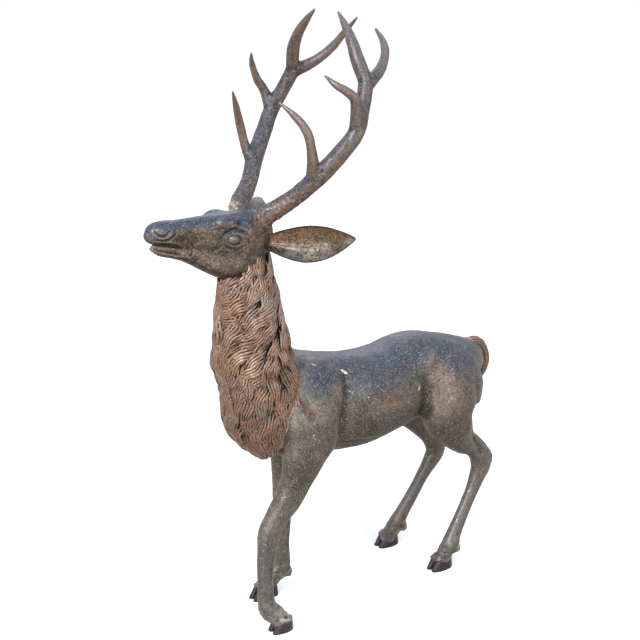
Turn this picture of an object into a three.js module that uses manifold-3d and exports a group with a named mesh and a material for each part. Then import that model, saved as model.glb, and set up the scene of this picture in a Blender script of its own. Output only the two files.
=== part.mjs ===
// Standing stag, a garden bronze cast in one piece. Millimetres, +Z up.
// The stag faces -Y, its own left side is +X and it stands on the ground, Z = 0.
import * as THREE from 'three';
import { mergeVertices } from 'three/addons/utils/BufferGeometryUtils.js';
import Module from 'manifold-3d';

const wasm = await Module();
wasm.setup();

// Moves the stag's own frame so that the part's origin lies under the middle of its box.
const standAt = new THREE.Vector3(-14.3, 68.4, 0);

// Head, ears and antlers are shaped facing straight ahead, then turned together about the poll.
const headPivot = new THREE.Vector3(0, -330, 1080);
const headTurn = THREE.MathUtils.degToRad(-4.3);
const headTilt = THREE.MathUtils.degToRad(2.9);

const trunkSides = 20;
const legSides = 10;
const headSides = 16;
const maneSides = 32;
const maneRings = 28;
const beamSides = 7;
const tineSides = 6;
const clawSides = 10;

// Mane: clumps of hair in rows, each lock thick at its tip and lapping the row below.
const maneLocks = { perSide: 7.5, rows: 7, slant: 2.6, proud: 11, tipShare: 0.22 };

// Hoof: two claws with flat soles; the front wall leans back from the toe.
const hoof = { width: 50, height: 34, gap: 1.5, wallLean: 22 };

// Ear: a cupped leaf, seen from its root.
const ear = { length: 262, halfWidth: 40, cup: 24, wall: 7 };

// ---- closed bodies from rings of points

// Rings run anticlockwise about the way they are stacked; a pole closes each end.
function skin(rings, startPole, endPole) {
  const count = rings[0].length;
  const points = rings.flat();
  const faces = [];
  for (let ring = 0; ring + 1 < rings.length; ring++) {
    for (let j = 0; j < count; j++) {
      const a = ring * count + j;
      const b = ring * count + (j + 1) % count;
      faces.push(a, b, a + count, b, b + count, a + count);
    }
  }
  const start = points.push(startPole) - 1;
  const end = points.push(endPole) - 1;
  const top = (rings.length - 1) * count;
  for (let j = 0; j < count; j++) {
    const next = (j + 1) % count;
    faces.push(start, next, j, end, top + j, top + next);
  }
  const geometry = new THREE.BufferGeometry().setFromPoints(points);
  geometry.setIndex(faces);
  return geometry;
}

function solid(geometry) {
  return new wasm.Manifold(new wasm.Mesh({
    numProp: 3,
    vertProperties: new Float32Array(geometry.getAttribute('position').array),
    triVerts: new Uint32Array(geometry.getIndex().array),
  }));
}

const joined = (geometries) => geometries.map(solid).reduce((whole, piece) => whole.add(piece));

function smooth(points) {
  return new THREE.CatmullRomCurve3(points, false, 'catmullrom');
}

const signedPower = (value, power) => Math.sign(value) * Math.abs(value) ** power;

// A body lofted through stations [x, y, z, half width, front or top, back or underside].
// The width runs along X, and the other two half sizes lie across the way the stations run.
function loft(stations, { sides, rings = stations.length, square = 2, egg = 0, dome = [0, 0], relief }) {
  const middle = smooth(stations.map(([x, y, z]) => new THREE.Vector3(x, y, z)));
  const sizes = smooth(stations.map(([, , , width, front, back]) => new THREE.Vector3(width, front, back)));

  function ringAt(t, shrink, slide) {
    const along = middle.getTangent(t);
    const side = new THREE.Vector3(1, 0, 0).addScaledVector(along, -along.x).normalize();
    const third = new THREE.Vector3().crossVectors(side, along);
    const centre = middle.getPoint(t).addScaledVector(along, slide);
    const size = sizes.getPoint(t);
    return Array.from({ length: sides }, (_, j) => {
      const angle = -2 * Math.PI * j / sides;
      const up = signedPower(Math.sin(angle), 2 / square);
      const across = signedPower(Math.cos(angle), 2 / square) * size.x * (1 + egg * up);
      const rise = up * (up > 0 ? size.y : size.z);
      const swell = relief ? 1 + relief(t, angle) / Math.hypot(across, rise) : 1;
      return centre.clone()
        .addScaledVector(side, across * swell * shrink)
        .addScaledVector(third, rise * swell * shrink);
    });
  }

  const body = Array.from({ length: rings }, (_, i) => ringAt(i / (rings - 1), 1, 0));
  const domed = (t, depth) => (depth ? [0.5, 0.85] : []).map(
    (share) => ringAt(t, Math.sqrt(1 - share ** 2), (t ? 1 : -1) * depth * share));
  const poleAt = (t, depth) => middle.getPoint(t).addScaledVector(middle.getTangent(t), depth);
  const layers = [...domed(0, dome[0]).reverse(), ...body, ...domed(1, dome[1])];
  return skin(layers, poleAt(0, -dome[0]), poleAt(1, dome[1]));
}

// A round branch along a curve; lumps is the share by which its radius wavers at its root.
function branch(points, radii, { rings, lumps = 0, sides = tineSides }) {
  const path = smooth(points.map((point) => new THREE.Vector3(...point)));
  const frames = path.computeFrenetFrames(rings);
  const thickness = smooth(radii.map((radius) => new THREE.Vector3(radius, 0, 0)));
  const layers = Array.from({ length: rings + 1 }, (_, i) => {
    const t = i / rings;
    const centre = path.getPointAt(t);
    return Array.from({ length: sides }, (_, j) => {
      const angle = 2 * Math.PI * j / sides;
      const wave = 1 + lumps * (1 - t) ** 2 * Math.sin(i * 2.3 + j * 2.1);
      const radius = thickness.getPoint(t).x * wave;
      return centre.clone()
        .addScaledVector(frames.normals[i], Math.cos(angle) * radius)
        .addScaledVector(frames.binormals[i], Math.sin(angle) * radius);
    });
  });
  const tip = path.getPointAt(1).addScaledVector(frames.tangents[rings], radii.at(-1));
  return skin(layers, path.getPointAt(0), tip);
}

function ball([x, y, z], [width, length, height], detail = 12) {
  const geometry = new THREE.SphereGeometry(1, detail, Math.round(detail * 0.6));
  geometry.deleteAttribute('normal');
  geometry.deleteAttribute('uv');
  return mergeVertices(geometry.scale(width, length, height).translate(x, y, z));
}

const mirrored = (points) => points.map(([x, ...rest]) => [-x, ...rest]);

// ---- trunk, mane and tail

// From the chest back to the rump.
function trunk() {
  const stations = [
    [0, -345, 600, 74, 60, 90],
    [0, -290, 600, 96, 118, 130],
    [0, -215, 600, 104, 142, 143],
    [0, -140, 596, 112, 136, 143],
    [0, -60, 592, 119, 126, 148],
    [0, 20, 592, 122, 122, 147],
    [0, 100, 600, 119, 120, 135],
    [0, 160, 610, 113, 125, 127],
    [0, 220, 618, 108, 120, 120],
    [0, 290, 622, 102, 99, 108],
    [0, 350, 622, 90, 82, 100],
    [0, 405, 622, 72, 60, 82],
    [0, 440, 622, 48, 42, 58],
  ];
  return loft(stations, { sides: trunkSides, rings: 18, square: 2.25, dome: [22, 22] });
}

// How far the hair stands proud at a height t and an angle round the neck.
function maneRelief(t, angle) {
  const fromFront = Math.abs(Math.asin(Math.sin((angle - Math.PI / 2) / 2))) * 2;
  const across = fromFront / Math.PI * maneLocks.perSide + maneLocks.slant * t;
  const column = Math.floor(across);
  const ridge = Math.sin(Math.PI * (across - column)) ** 0.6;
  const along = t * maneLocks.rows + (column % 2) * 0.5 + Math.sin(column * 7.3) * 0.2 + 1;
  const fromTip = along - Math.floor(along);
  const tip = maneLocks.tipShare;
  const lap = fromTip < tip ? fromTip / tip : 1 - 0.9 * (fromTip - tip) / (1 - tip);
  return maneLocks.proud * (ridge * lap - 0.4);
}

// Neck and chest under their mane, from its lowest locks up to the jaw.
function mane() {
  const stations = [
    [0, -314, 490, 48, 46, 34],
    [0, -314, 524, 78, 88, 64],
    [0, -310, 572, 100, 122, 90],
    [0, -310, 632, 109, 132, 100],
    [0, -320, 692, 108, 134, 100],
    [0, -344, 750, 102, 126, 104],
    [0, -357, 800, 94, 109, 102],
    [0, -362, 850, 88, 100, 93],
    [0, -366, 905, 81, 93, 85],
    [0, -370, 960, 66, 84, 78],
    [0, -378, 1012, 44, 58, 68],
  ];
  return loft(stations, { sides: maneSides, rings: maneRings, dome: [26, 14], relief: maneRelief });
}

function tail() {
  const stations = [
    [0, 425, 662, 22, 18, 18],
    [0, 462, 661, 20, 17, 16],
    [0, 487, 640, 19, 16, 17],
    [0, 496, 608, 19, 17, 18],
    [0, 493, 578, 15, 15, 15],
    [0, 487, 556, 7, 7, 7],
  ];
  return loft(stations, { sides: 10, dome: [8, 9] });
}

// ---- legs, each from the pastern up into the trunk

function leg(stations) {
  return loft(stations, { sides: legSides, square: 2.1, dome: [0, 8] });
}

// Bent a little at the knee, so that the pastern runs back to the hoof.
function leftForeleg() {
  return leg([
    [97, -334, 18, 20, 21, 23],
    [96, -346, 42, 21, 23, 29],
    [93, -370, 72, 23, 27, 27],
    [88, -375, 105, 20, 23, 24],
    [86, -375, 150, 19, 22, 23],
    [82, -372, 200, 20, 24, 24],
    [79, -363, 245, 23, 30, 28],
    [78, -354, 285, 27, 35, 31],
    [80, -334, 325, 27, 34, 33],
    [85, -303, 368, 31, 42, 41],
    [88, -281, 410, 34, 46, 44],
    [91, -266, 448, 40, 54, 54],
    [93, -256, 490, 45, 64, 74],
    [90, -246, 535, 47, 68, 98],
    [84, -238, 590, 46, 74, 108],
    [74, -222, 645, 40, 76, 98],
    [62, -200, 695, 27, 60, 68],
    [52, -190, 730, 12, 30, 34],
  ]);
}

// Straight and set a little further back, with a long sloping pastern.
function rightForeleg() {
  return leg([
    [-84, -266, 22, 22, 26, 26],
    [-80, -250, 48, 21, 24, 24],
    [-73, -215, 80, 23, 27, 28],
    [-71, -210, 112, 19, 23, 23],
    [-70, -210, 160, 17, 20, 20],
    [-70, -207, 215, 18, 21, 21],
    [-71, -207, 262, 22, 27, 25],
    [-73, -208, 300, 25, 31, 28],
    [-75, -208, 340, 25, 30, 28],
    [-78, -208, 385, 27, 30, 34],
    [-81, -206, 430, 32, 34, 44],
    [-86, -210, 478, 40, 44, 60],
    [-90, -226, 530, 46, 62, 86],
    [-84, -234, 590, 46, 72, 104],
    [-74, -222, 645, 40, 76, 98],
    [-62, -200, 695, 27, 60, 68],
    [-52, -190, 730, 12, 30, 34],
  ]);
}

// Hind legs share a thigh; the left one reaches further back at the hock.
const thigh = [
  [100, 266, 500, 50, 90, 96],
  [95, 268, 555, 53, 104, 118],
  [84, 286, 615, 46, 104, 122],
  [68, 304, 662, 32, 84, 96],
  [54, 316, 694, 14, 46, 52],
];

function leftHindLeg() {
  return leg([
    [82, 268, 20, 21, 24, 25],
    [89, 276, 48, 21, 24, 25],
    [98, 291, 82, 23, 27, 30],
    [98, 304, 112, 20, 23, 26],
    [97, 325, 147, 18, 21, 23],
    [96, 344, 180, 17, 20, 22],
    [94, 376, 234, 17, 21, 24],
    [92, 394, 268, 20, 25, 28],
    [92, 408, 298, 24, 31, 34],
    [92, 411, 325, 25, 38, 37],
    [92, 395, 352, 25, 32, 36],
    [93, 366, 380, 27, 33, 36],
    [95, 331, 405, 32, 44, 42],
    [98, 300, 440, 41, 60, 58],
    ...thigh,
  ]);
}

function rightHindLeg() {
  return leg([
    [-135, 238, 20, 21, 23, 25],
    [-120, 241, 50, 21, 25, 25],
    [-108, 254, 84, 22, 27, 28],
    [-103, 269, 112, 19, 23, 24],
    [-99, 290, 146, 17, 21, 22],
    [-96, 312, 180, 17, 20, 21],
    [-93, 340, 225, 17, 21, 22],
    [-90, 364, 260, 20, 25, 26],
    [-88, 385, 292, 24, 31, 32],
    [-88, 389, 316, 25, 35, 34],
    [-89, 376, 342, 25, 33, 33],
    [-90, 357, 364, 26, 30, 32],
    [-93, 337, 388, 30, 34, 38],
    [-97, 316, 414, 36, 41, 50],
    [-99, 292, 450, 44, 60, 66],
    ...mirrored(thigh),
  ]);
}

// One claw of a hoof: rings from the flat sole up to the coronet, narrow at the toe.
function claw(x, y, length, outward) {
  const half = hoof.width / 4;
  const levels = [0, 0.12, 1];
  const rings = levels.map((level) => Array.from({ length: clawSides }, (_, j) => {
    const angle = 2 * Math.PI * j / clawSides;
    const front = Math.cos(angle);
    const bevel = level === 0 ? 0.94 : 1 - 0.08 * level;
    const toe = Math.max(front, 0) * hoof.wallLean * level;
    const narrow = 1 - 0.3 * Math.max(front, 0);
    const across = signedPower(Math.sin(angle), 0.8) * half * bevel * narrow;
    return new THREE.Vector3(
      x + outward * (half + hoof.gap) + across,
      y - signedPower(front, 0.9) * length / 2 * bevel + toe,
      hoof.height * level * (1 - 0.2 * (0.5 - front / 2)));
  }));
  const pole = (level) => new THREE.Vector3(
    x + outward * (half + hoof.gap), y + level * hoof.wallLean / 3, hoof.height * level * 0.95);
  return skin(rings, pole(0), pole(1));
}

function foot(x, y, length) {
  return [claw(x, y, length, 1), claw(x, y, length, -1)];
}

// The pair of small claws behind a fetlock.
function dewclaws(x, y, z) {
  return [-1, 1].map((sign) => ball([x + sign * 12, y, z], [9, 13, 14], 6));
}

// ---- head, ears and antlers, facing straight ahead

function head() {
  const skull = [
    [0, -640, 1096, 17, 18, 15],
    [0, -626, 1101, 25, 30, 24],
    [0, -602, 1104, 29, 33, 30],
    [0, -574, 1102, 29, 34, 36],
    [0, -544, 1100, 29, 38, 42],
    [0, -510, 1096, 34, 44, 52],
    [0, -474, 1090, 43, 52, 66],
    [0, -438, 1084, 51, 60, 78],
    [0, -400, 1078, 55, 68, 84],
    [0, -360, 1078, 54, 68, 84],
    [0, -325, 1078, 44, 56, 66],
  ];
  const jaw = [
    [0, -630, 1070, 15, 9, 7],
    [0, -612, 1065, 21, 12, 14],
    [0, -585, 1058, 23, 13, 15],
    [0, -550, 1048, 27, 20, 16],
    [0, -515, 1034, 31, 38, 20],
    [0, -475, 1018, 39, 52, 26],
    [0, -435, 1008, 48, 64, 34],
    [0, -398, 1008, 52, 64, 36],
    [0, -365, 1020, 46, 50, 40],
  ];
  const sides = [1, -1].flatMap((sign) => [
    ball([sign * 47, -431, 1084], [13, 15, 13], 8),
    branch(
      [[sign * 42, -468, 1092], [sign * 50, -452, 1109], [sign * 55, -430, 1114], [sign * 56, -404, 1102]],
      [3, 6, 7, 4], { rings: 5, sides: 6 }),
    branch(
      [[sign * 46, -458, 1080], [sign * 53, -433, 1066], [sign * 55, -404, 1078]],
      [2, 5, 2], { rings: 4, sides: 6 }),
    ball([sign * 35, -446, 1130], [25, 44, 18], 10),
  ]);
  return [
    loft(skull, { sides: headSides, rings: 13, square: 2.2, egg: 0.12, dome: [8, 20] }),
    loft(jaw, { sides: 10, square: 2.1, dome: [6, 10] }),
    ...sides,
  ];
}

// The near face of the leaf is cupped and the back bulges; its rim is a blunt edge.
function earLeaf(sign, rise, outward) {
  const root = new THREE.Vector3(sign * 38, -347, 1072);
  const along = new THREE.Vector3(sign * 0.8, 0.59, rise).normalize();
  const opening = new THREE.Vector3(sign * outward, -0.8, 0.32);
  opening.addScaledVector(along, -opening.dot(along)).normalize();
  const up = new THREE.Vector3().crossVectors(along, opening).multiplyScalar(-sign);
  const spread = [-1, -0.55, 0, 0.55, 1];
  const shares = [0, 0.12, 0.28, 0.45, 0.62, 0.78, 0.9, 0.98];
  const rings = shares.map((share) => {
    const half = 13 * (1 - share) + ear.halfWidth * Math.sin(Math.PI * share ** 1.05) ** 0.8;
    const droop = -0.25 * half;
    const centre = root.clone().addScaledVector(along, ear.length * share).addScaledVector(up, droop);
    const depthAt = (s) => ear.cup * Math.min(half / ear.halfWidth, 1) * (1 - s * s);
    const wallAt = (s) => 2.5 + ear.wall * (1 - s * s) * (1 - 0.6 * share);
    const pointAt = (s, depth) => centre.clone()
      .addScaledVector(up, s * half)
      .addScaledVector(opening, -depth);
    const back = spread.map((s) => pointAt(s, depthAt(s) + wallAt(s)));
    const front = [...spread].reverse().map((s) => pointAt(s, depthAt(s)));
    return sign > 0 ? [...back, ...front] : [...back, ...front].reverse();
  });
  const mean = (ring) => ring.reduce((sum, p) => sum.add(p), new THREE.Vector3()).divideScalar(ring.length);
  return skin(rings, mean(rings[0]), mean(rings.at(-1)));
}

// A beam with four tines. The two antlers differ by a few millimetres of height:
// lifts raise the points of the brow, second and rear crown tines from root to tip.
function antler(sign, lifts) {
  const at = (points, lift = []) => points.map(([x, y, z], i) => [sign * x, y, z + (lift[i] ?? 0)]);
  const beam = at([
    [56, -366, 1120], [72, -353, 1144], [114, -302, 1192], [156, -263, 1247],
    [186, -223, 1303], [206, -188, 1362], [188, -160, 1426], [166, -138, 1488]]);
  const brow = at([
    [152, -272, 1240], [166, -286, 1290], [168, -302, 1345], [148, -325, 1388], [116, -353, 1426]],
  lifts.brow);
  const second = at([
    [207, -188, 1368], [220, -203, 1423], [216, -228, 1453], [202, -250, 1479], [178, -267, 1505]],
  lifts.second);
  const crownFront = at([
    [172, -144, 1476], [150, -157, 1527], [127, -159, 1566], [93, -158, 1602], [54, -155, 1634]]);
  const crownBack = at([
    [172, -136, 1472], [150, -88, 1508], [123, -57, 1540], [88, -38, 1574], [42, -32, 1605]],
  lifts.crown);
  return [
    branch(beam, [31, 29, 23, 23, 22, 20.5, 19, 19], { rings: 14, lumps: 0.09, sides: beamSides }),
    branch(brow, [19, 13, 11.5, 9, 3.5], { rings: 7 }),
    branch(second, [18, 13, 11, 8.5, 3], { rings: 7 }),
    branch(crownFront, [18, 17, 14, 10, 3], { rings: 7 }),
    branch(crownBack, [18, 14, 11.5, 9, 3], { rings: 7 }),
  ];
}

function turnedHead() {
  const turn = new THREE.Matrix4()
    .makeTranslation(headPivot.x, headPivot.y, headPivot.z)
    .multiply(new THREE.Matrix4().makeRotationZ(headTurn))
    .multiply(new THREE.Matrix4().makeRotationY(headTilt))
    .multiply(new THREE.Matrix4().makeTranslation(-headPivot.x, -headPivot.y, -headPivot.z));
  const leftLifts = { brow: [0, 12, 12, 6, 0], second: [0, 12, 6, -6, -12], crown: [0, -6, -6, -12, -12] };
  const rightLifts = { brow: [0, -12, -12, -6, 0], second: [0, -8, -6, 6, 11], crown: [0, -10, -8, 2, 11] };
  const forms = [
    ...head(),
    earLeaf(1, 0.14, 0.5),
    earLeaf(-1, 0.22, 0.05),
    ...antler(1, leftLifts),
    ...antler(-1, rightLifts),
  ];
  return forms.map((form) => form.applyMatrix4(turn));
}

// ---- the casting

const stagSolid = joined([
  trunk(),
  mane(),
  tail(),
  leftForeleg(),
  rightForeleg(),
  leftHindLeg(),
  rightHindLeg(),
  ...foot(97, -334, 64),
  ...foot(-84, -268, 84),
  ...foot(80, 266, 78),
  ...foot(-138, 238, 76),
  ...dewclaws(95, -338, 60),
  ...dewclaws(-72, -190, 68),
  ...dewclaws(101, 312, 68),
  ...dewclaws(-105, 275, 72),
  ...turnedHead(),
]);

function asGeometry(manifold) {
  const mesh = manifold.getMesh();
  const geometry = new THREE.BufferGeometry();
  geometry.setAttribute('position', new THREE.BufferAttribute(mesh.vertProperties, 3));
  geometry.setIndex(new THREE.BufferAttribute(mesh.triVerts, 1));
  return geometry;
}

const patinatedBronze = new THREE.MeshStandardMaterial({ color: 0x57504a, roughness: 0.55, metalness: 0.85 });

const stag = new THREE.Mesh(asGeometry(stagSolid), patinatedBronze);
stag.name = 'stag';
stag.position.copy(standAt);

const group = new THREE.Group();
group.add(stag);

export default group;
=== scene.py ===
import math

import bpy
import numpy as np
from mathutils import Matrix, Vector
from mathutils.bvhtree import BVHTree


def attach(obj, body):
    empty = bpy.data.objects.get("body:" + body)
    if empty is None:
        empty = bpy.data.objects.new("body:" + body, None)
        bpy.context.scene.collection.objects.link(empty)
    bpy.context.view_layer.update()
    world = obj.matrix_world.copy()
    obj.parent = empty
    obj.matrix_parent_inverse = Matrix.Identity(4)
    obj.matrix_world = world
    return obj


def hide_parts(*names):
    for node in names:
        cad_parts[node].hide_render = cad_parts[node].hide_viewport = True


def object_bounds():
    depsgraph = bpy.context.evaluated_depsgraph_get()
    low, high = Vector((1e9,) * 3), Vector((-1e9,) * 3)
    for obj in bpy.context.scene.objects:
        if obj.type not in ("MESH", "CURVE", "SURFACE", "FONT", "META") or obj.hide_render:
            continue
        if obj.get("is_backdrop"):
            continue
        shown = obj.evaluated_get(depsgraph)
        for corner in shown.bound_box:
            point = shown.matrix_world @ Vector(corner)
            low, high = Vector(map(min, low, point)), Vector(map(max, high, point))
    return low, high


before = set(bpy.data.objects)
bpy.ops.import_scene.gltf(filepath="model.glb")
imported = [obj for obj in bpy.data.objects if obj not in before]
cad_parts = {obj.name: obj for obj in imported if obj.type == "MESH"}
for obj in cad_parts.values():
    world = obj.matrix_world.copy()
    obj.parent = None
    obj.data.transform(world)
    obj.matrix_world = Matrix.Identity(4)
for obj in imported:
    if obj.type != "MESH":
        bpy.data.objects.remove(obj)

cadLow, cadHigh = (Vector(corner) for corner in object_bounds())
print("frame loaded, box", [round(high - low, 3) for low, high in zip(cadLow, cadHigh)])

# The stag is shaped in millimetres about a point on the ground under its withers, facing -Y.
withers = {"fromRightFace": 229.6, "fromNose": 648.9}  # that point, measured in from the box's faces
origin = np.array([
    cadLow.x + withers["fromRightFace"] / 1000,
    cadLow.y + withers["fromNose"] / 1000,
    cadLow.z])
headSet = {"pivot": (0, -330, 1080), "turn": -4.3, "tilt": 2.9}  # degrees about the poll


def curveThrough(rows, shares):  # a smooth curve through the rows, read at shares of its way
    rows = np.asarray(rows, float)
    spans = len(rows) - 1
    place = np.clip(np.asarray(shares, float) * spans, 0, spans - 1e-9)
    index = place.astype(int)
    w = (place - index)[:, None]
    padded = np.vstack([2 * rows[0] - rows[1], rows, 2 * rows[-1] - rows[-2]])
    before, start, end, after = (padded[index + k] for k in range(4))
    return 0.5 * (2 * start + (end - before) * w
                  + (2 * before - 5 * start + 4 * end - after) * w ** 2
                  + (3 * start - before - 3 * end + after) * w ** 3)


def unit(vectors):
    return vectors / np.maximum(np.linalg.norm(vectors, axis=-1, keepdims=True), 1e-9)


def signedPower(value, power):
    return np.sign(value) * np.abs(value) ** power


def wrap(rings, startPole, endPole):  # rings x sides x 3, closed by a pole at each end
    count, sides = rings.shape[:2]
    ring, j = np.meshgrid(np.arange(count - 1), np.arange(sides), indexing="ij")
    a = (ring * sides + j).ravel()
    b = (ring * sides + (j + 1) % sides).ravel()
    faces = np.column_stack([a, b, b + sides, a + sides]).tolist()
    start, end = count * sides, count * sides + 1
    top = (count - 1) * sides
    for j in range(sides):
        faces.append((start, (j + 1) % sides, j))
        faces.append((end, top + j, top + (j + 1) % sides))
    return np.vstack([rings.reshape(-1, 3), startPole, endPole]), faces


def sampled(stations, step):  # shares of the way, and the middle, sizes and direction there
    stations = np.array(stations, float)
    length = np.linalg.norm(np.diff(stations[:, :3], axis=0), axis=1).sum()
    shares = np.linspace(0, 1, int(length / step))
    rows = curveThrough(stations, shares)
    return shares, rows[:, :3], rows[:, 3:], unit(np.gradient(rows[:, :3], axis=0))


def ringsRound(centre, side, third, across, rise):  # side and third: the two ways across the path
    return centre[:, None] + side[:, None] * across[..., None] + third[:, None] * rise[..., None]


# stations: x, y, z, half width, front or top, back or underside; dome: how far each end bulges
def loft(stations, dome, step=5, sides=64, square=2.0, egg=0.0, relief=None):
    shares, centre, size, tangent = sampled(stations, step)
    spine = [centre, size, tangent, np.ones(len(shares)), shares]
    bulge = np.sin(np.linspace(0.2, 0.96, 6) * math.pi / 2)
    for way, depth in zip((-1, 1), dome):  # turned round for the first end, and back again
        spine = [rows[::way] for rows in spine]
        cap = [rows[[-1] * len(bulge)] for rows in spine]
        cap[0] = cap[0] + way * cap[2] * depth * bulge[:, None]
        cap[3] = np.sqrt(1 - bulge ** 2)
        spine = [np.concatenate(pair)[::way] for pair in zip(spine, cap)]
    centre, size, tangent, shrink, shares = spine
    side = unit(np.array([1.0, 0, 0]) - tangent * tangent[:, :1])
    third = np.cross(side, tangent)
    angle = -2 * math.pi * np.arange(sides) / sides
    up = signedPower(np.sin(angle), 2 / square)[None, :]
    across = signedPower(np.cos(angle), 2 / square)[None, :] * size[:, :1] * (1 + egg * up)
    rise = up * np.where(up > 0, size[:, 1:2], size[:, 2:3])
    swell = shrink[:, None]
    if relief is not None:
        swell = swell * (1 + relief(shares[:, None], angle[None, :]) / np.hypot(across, rise))
    rings = ringsRound(centre, side, third, across * swell, rise * swell)
    first = centre[0] - tangent[0] * (dome[0] * 0.02)
    last = centre[-1] + tangent[-1] * (dome[1] * 0.02)
    return wrap(rings, first, last)


def tube(stations, step, sides):  # stations: x, y, z, radius
    _, centre, radius, tangent = sampled(stations, step)
    side = unit(np.cross(tangent[0], (0.3, 0.2, 1.0)))
    sideways = []
    for way in tangent:  # carries the frame along without twist
        side = unit(side - way * (side @ way))
        sideways.append(side)
    sideways = np.array(sideways)
    third = np.cross(tangent, sideways)
    angle = 2 * math.pi * np.arange(sides) / sides
    rings = ringsRound(centre, sideways, third, np.cos(angle) * radius, np.sin(angle) * radius)
    return wrap(rings, centre[0], centre[-1] + tangent[-1] * radius[-1] * 0.7)


def ball(centre, sizes, sides=32):
    lift = np.linspace(-1, 1, sides // 2 + 1)[1:-1] * math.pi / 2
    turn = 2 * math.pi * np.arange(sides) / sides
    rings = np.stack([
        np.cos(lift)[:, None] * np.cos(turn), np.cos(lift)[:, None] * np.sin(turn),
        np.repeat(np.sin(lift)[:, None], sides, 1)], -1) * sizes + centre
    pole = np.array([0, 0, sizes[2]])
    return wrap(rings, centre - pole, centre + pole)


def mirrored(rows):
    return [(-x, *rest) for x, *rest in rows]


def toScene(points):
    return points / 1000 + origin


def placed(name, data):
    made = bpy.data.objects.new(name, data)
    bpy.context.scene.collection.objects.link(made)
    return made


def meshObject(name, shells):
    points = np.vstack([p for p, _ in shells])
    faces, start = [], 0
    for p, f in shells:
        faces.extend(tuple(i + start for i in face) for face in f)
        start += len(p)
    mesh = bpy.data.meshes.new(name)
    mesh.from_pydata(toScene(points).tolist(), [], faces)
    return placed(name, mesh)


def applied(piece):  # the evaluated mesh replaces the one with live modifiers
    graph = bpy.context.evaluated_depsgraph_get()
    mesh = bpy.data.meshes.new_from_object(piece.evaluated_get(graph))
    piece.modifiers.clear()
    piece.data = mesh
    return piece


def fused(name, shells, voxel):  # one closed skin over all the shells, voxel in millimetres
    piece = meshObject(name, shells)
    remesh = piece.modifiers.new("fuse", "REMESH")
    remesh.mode = "VOXEL"
    remesh.voxel_size = voxel / 1000
    return applied(piece)


def gathered(rows, field, width, kind=np.float32):  # a field of all of a mesh's points, normals or edges
    values = np.empty(len(rows) * width, kind)
    rows.foreach_get(field, values)
    return values.reshape(-1, width)


def pointsOf(piece):
    return (gathered(piece.data.vertices, "co", 3).astype(float) - origin) * 1000


def setPoints(piece, points):
    piece.data.vertices.foreach_set("co", toScene(points).astype(np.float32).ravel())
    piece.data.update()


def normalsOf(piece):
    return gathered(piece.data.vertex_normals, "vector", 3).astype(float)


def edgesOf(piece):
    return gathered(piece.data.edges, "vertices", 2, np.int32)


def neighbourMean(values, edges):
    count = np.bincount(edges.ravel(), minlength=len(values))[:, None]
    total = np.stack([
        np.bincount(edges[:, 0], values[edges[:, 1], k], len(values))
        + np.bincount(edges[:, 1], values[edges[:, 0], k], len(values))
        for k in range(values.shape[1])], 1)
    return total / np.maximum(count, 1)


def softened(piece, rounds, fill=0, where=None):  # fill: rounds that raise the hollows, as a fillet does
    edges = edgesOf(piece)
    points = pointsOf(piece)
    for _ in range(fill):
        setPoints(piece, points)
        normals = normalsOf(piece)
        pull = neighbourMean(points, edges) - points
        rise = np.maximum((pull * normals).sum(1), 0)
        if where is not None:
            rise = rise * where(points)
        points = points + normals * rise[:, None] * 0.9
    for _ in range(rounds):
        points = points + 0.5 * (neighbourMean(points, edges) - points)
    setPoints(piece, points)


def grainNoise(points, size, seed):  # value noise, -1 to 1
    place = points / size + seed * 17.3
    cell = np.floor(place)
    part = place - cell
    part = part * part * (3 - 2 * part)
    total = np.zeros(len(points))
    for corner in np.ndindex(2, 2, 2):
        at = cell + corner
        hashed = np.sin(at @ np.array([127.1, 311.7, 74.7]) + seed) * 43758.5453
        weight = np.prod(np.where(np.array(corner) > 0, part, 1 - part), axis=1)
        total += (2 * (hashed - np.floor(hashed)) - 1) * weight
    return total


def ripple(points, waves):  # waves: height, size and seed of each layer of noise
    return sum(height * grainNoise(points, size, seed) for height, size, seed in waves)


# a groove along a line, or a ridge if its depth is below zero
def carve(points, normals, path, width, depth, taper=1.6):
    line = curveThrough(path, np.linspace(0, 1, 48))
    low, high = line.min(0) - 3 * width - 12, line.max(0) + 3 * width + 12
    near = np.where(np.all((points > low) & (points < high), axis=1))[0]
    if not len(near):
        return
    local = points[near]
    line = np.array([local[np.argmin(((local - p) ** 2).sum(1))] for p in line])  # settles on the skin
    line[1:-1] = (line[:-2] + 2 * line[1:-1] + line[2:]) / 4
    gap = np.linalg.norm(local[:, None] - line[None], axis=2)
    closest = gap.argmin(1)
    fade = np.minimum(1, np.sin(math.pi * (closest + 0.5) / len(line)) * taper)
    push = depth * fade * np.exp(-(gap.min(1) / width) ** 2)
    points[near] -= normals[near] * push[:, None]


def swell(points, normals, centre, radius, height):
    reach = (((points - centre) / radius) ** 2).sum(1)
    points += normals * (height * np.exp(-reach))[:, None]


def worked(piece, grooves=(), bumps=(), sides=(1, -1)):  # alike on the sides named
    points = pointsOf(piece)
    normals = normalsOf(piece)
    for sign in sides:
        flip = np.array([sign, 1, 1])
        for centre, radius, height in bumps:
            swell(points, normals, np.array(centre) * flip, np.array(radius), height)
    setPoints(piece, points)
    normals = normalsOf(piece)
    for sign in sides:
        flip = np.array([sign, 1, 1])
        for path, width, depth in grooves:
            carve(points, normals, np.array(path, float) * flip, width, depth)
    setPoints(piece, points)


def keepMask(piece, name, values):
    layer = piece.data.attributes.new(name, "FLOAT", "POINT")
    layer.data.foreach_set("value", values.astype(np.float32))


def smoothStep(low, high, values):
    t = np.clip((values - low) / (high - low), 0, 1)
    return t * t * (3 - 2 * t)


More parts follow.
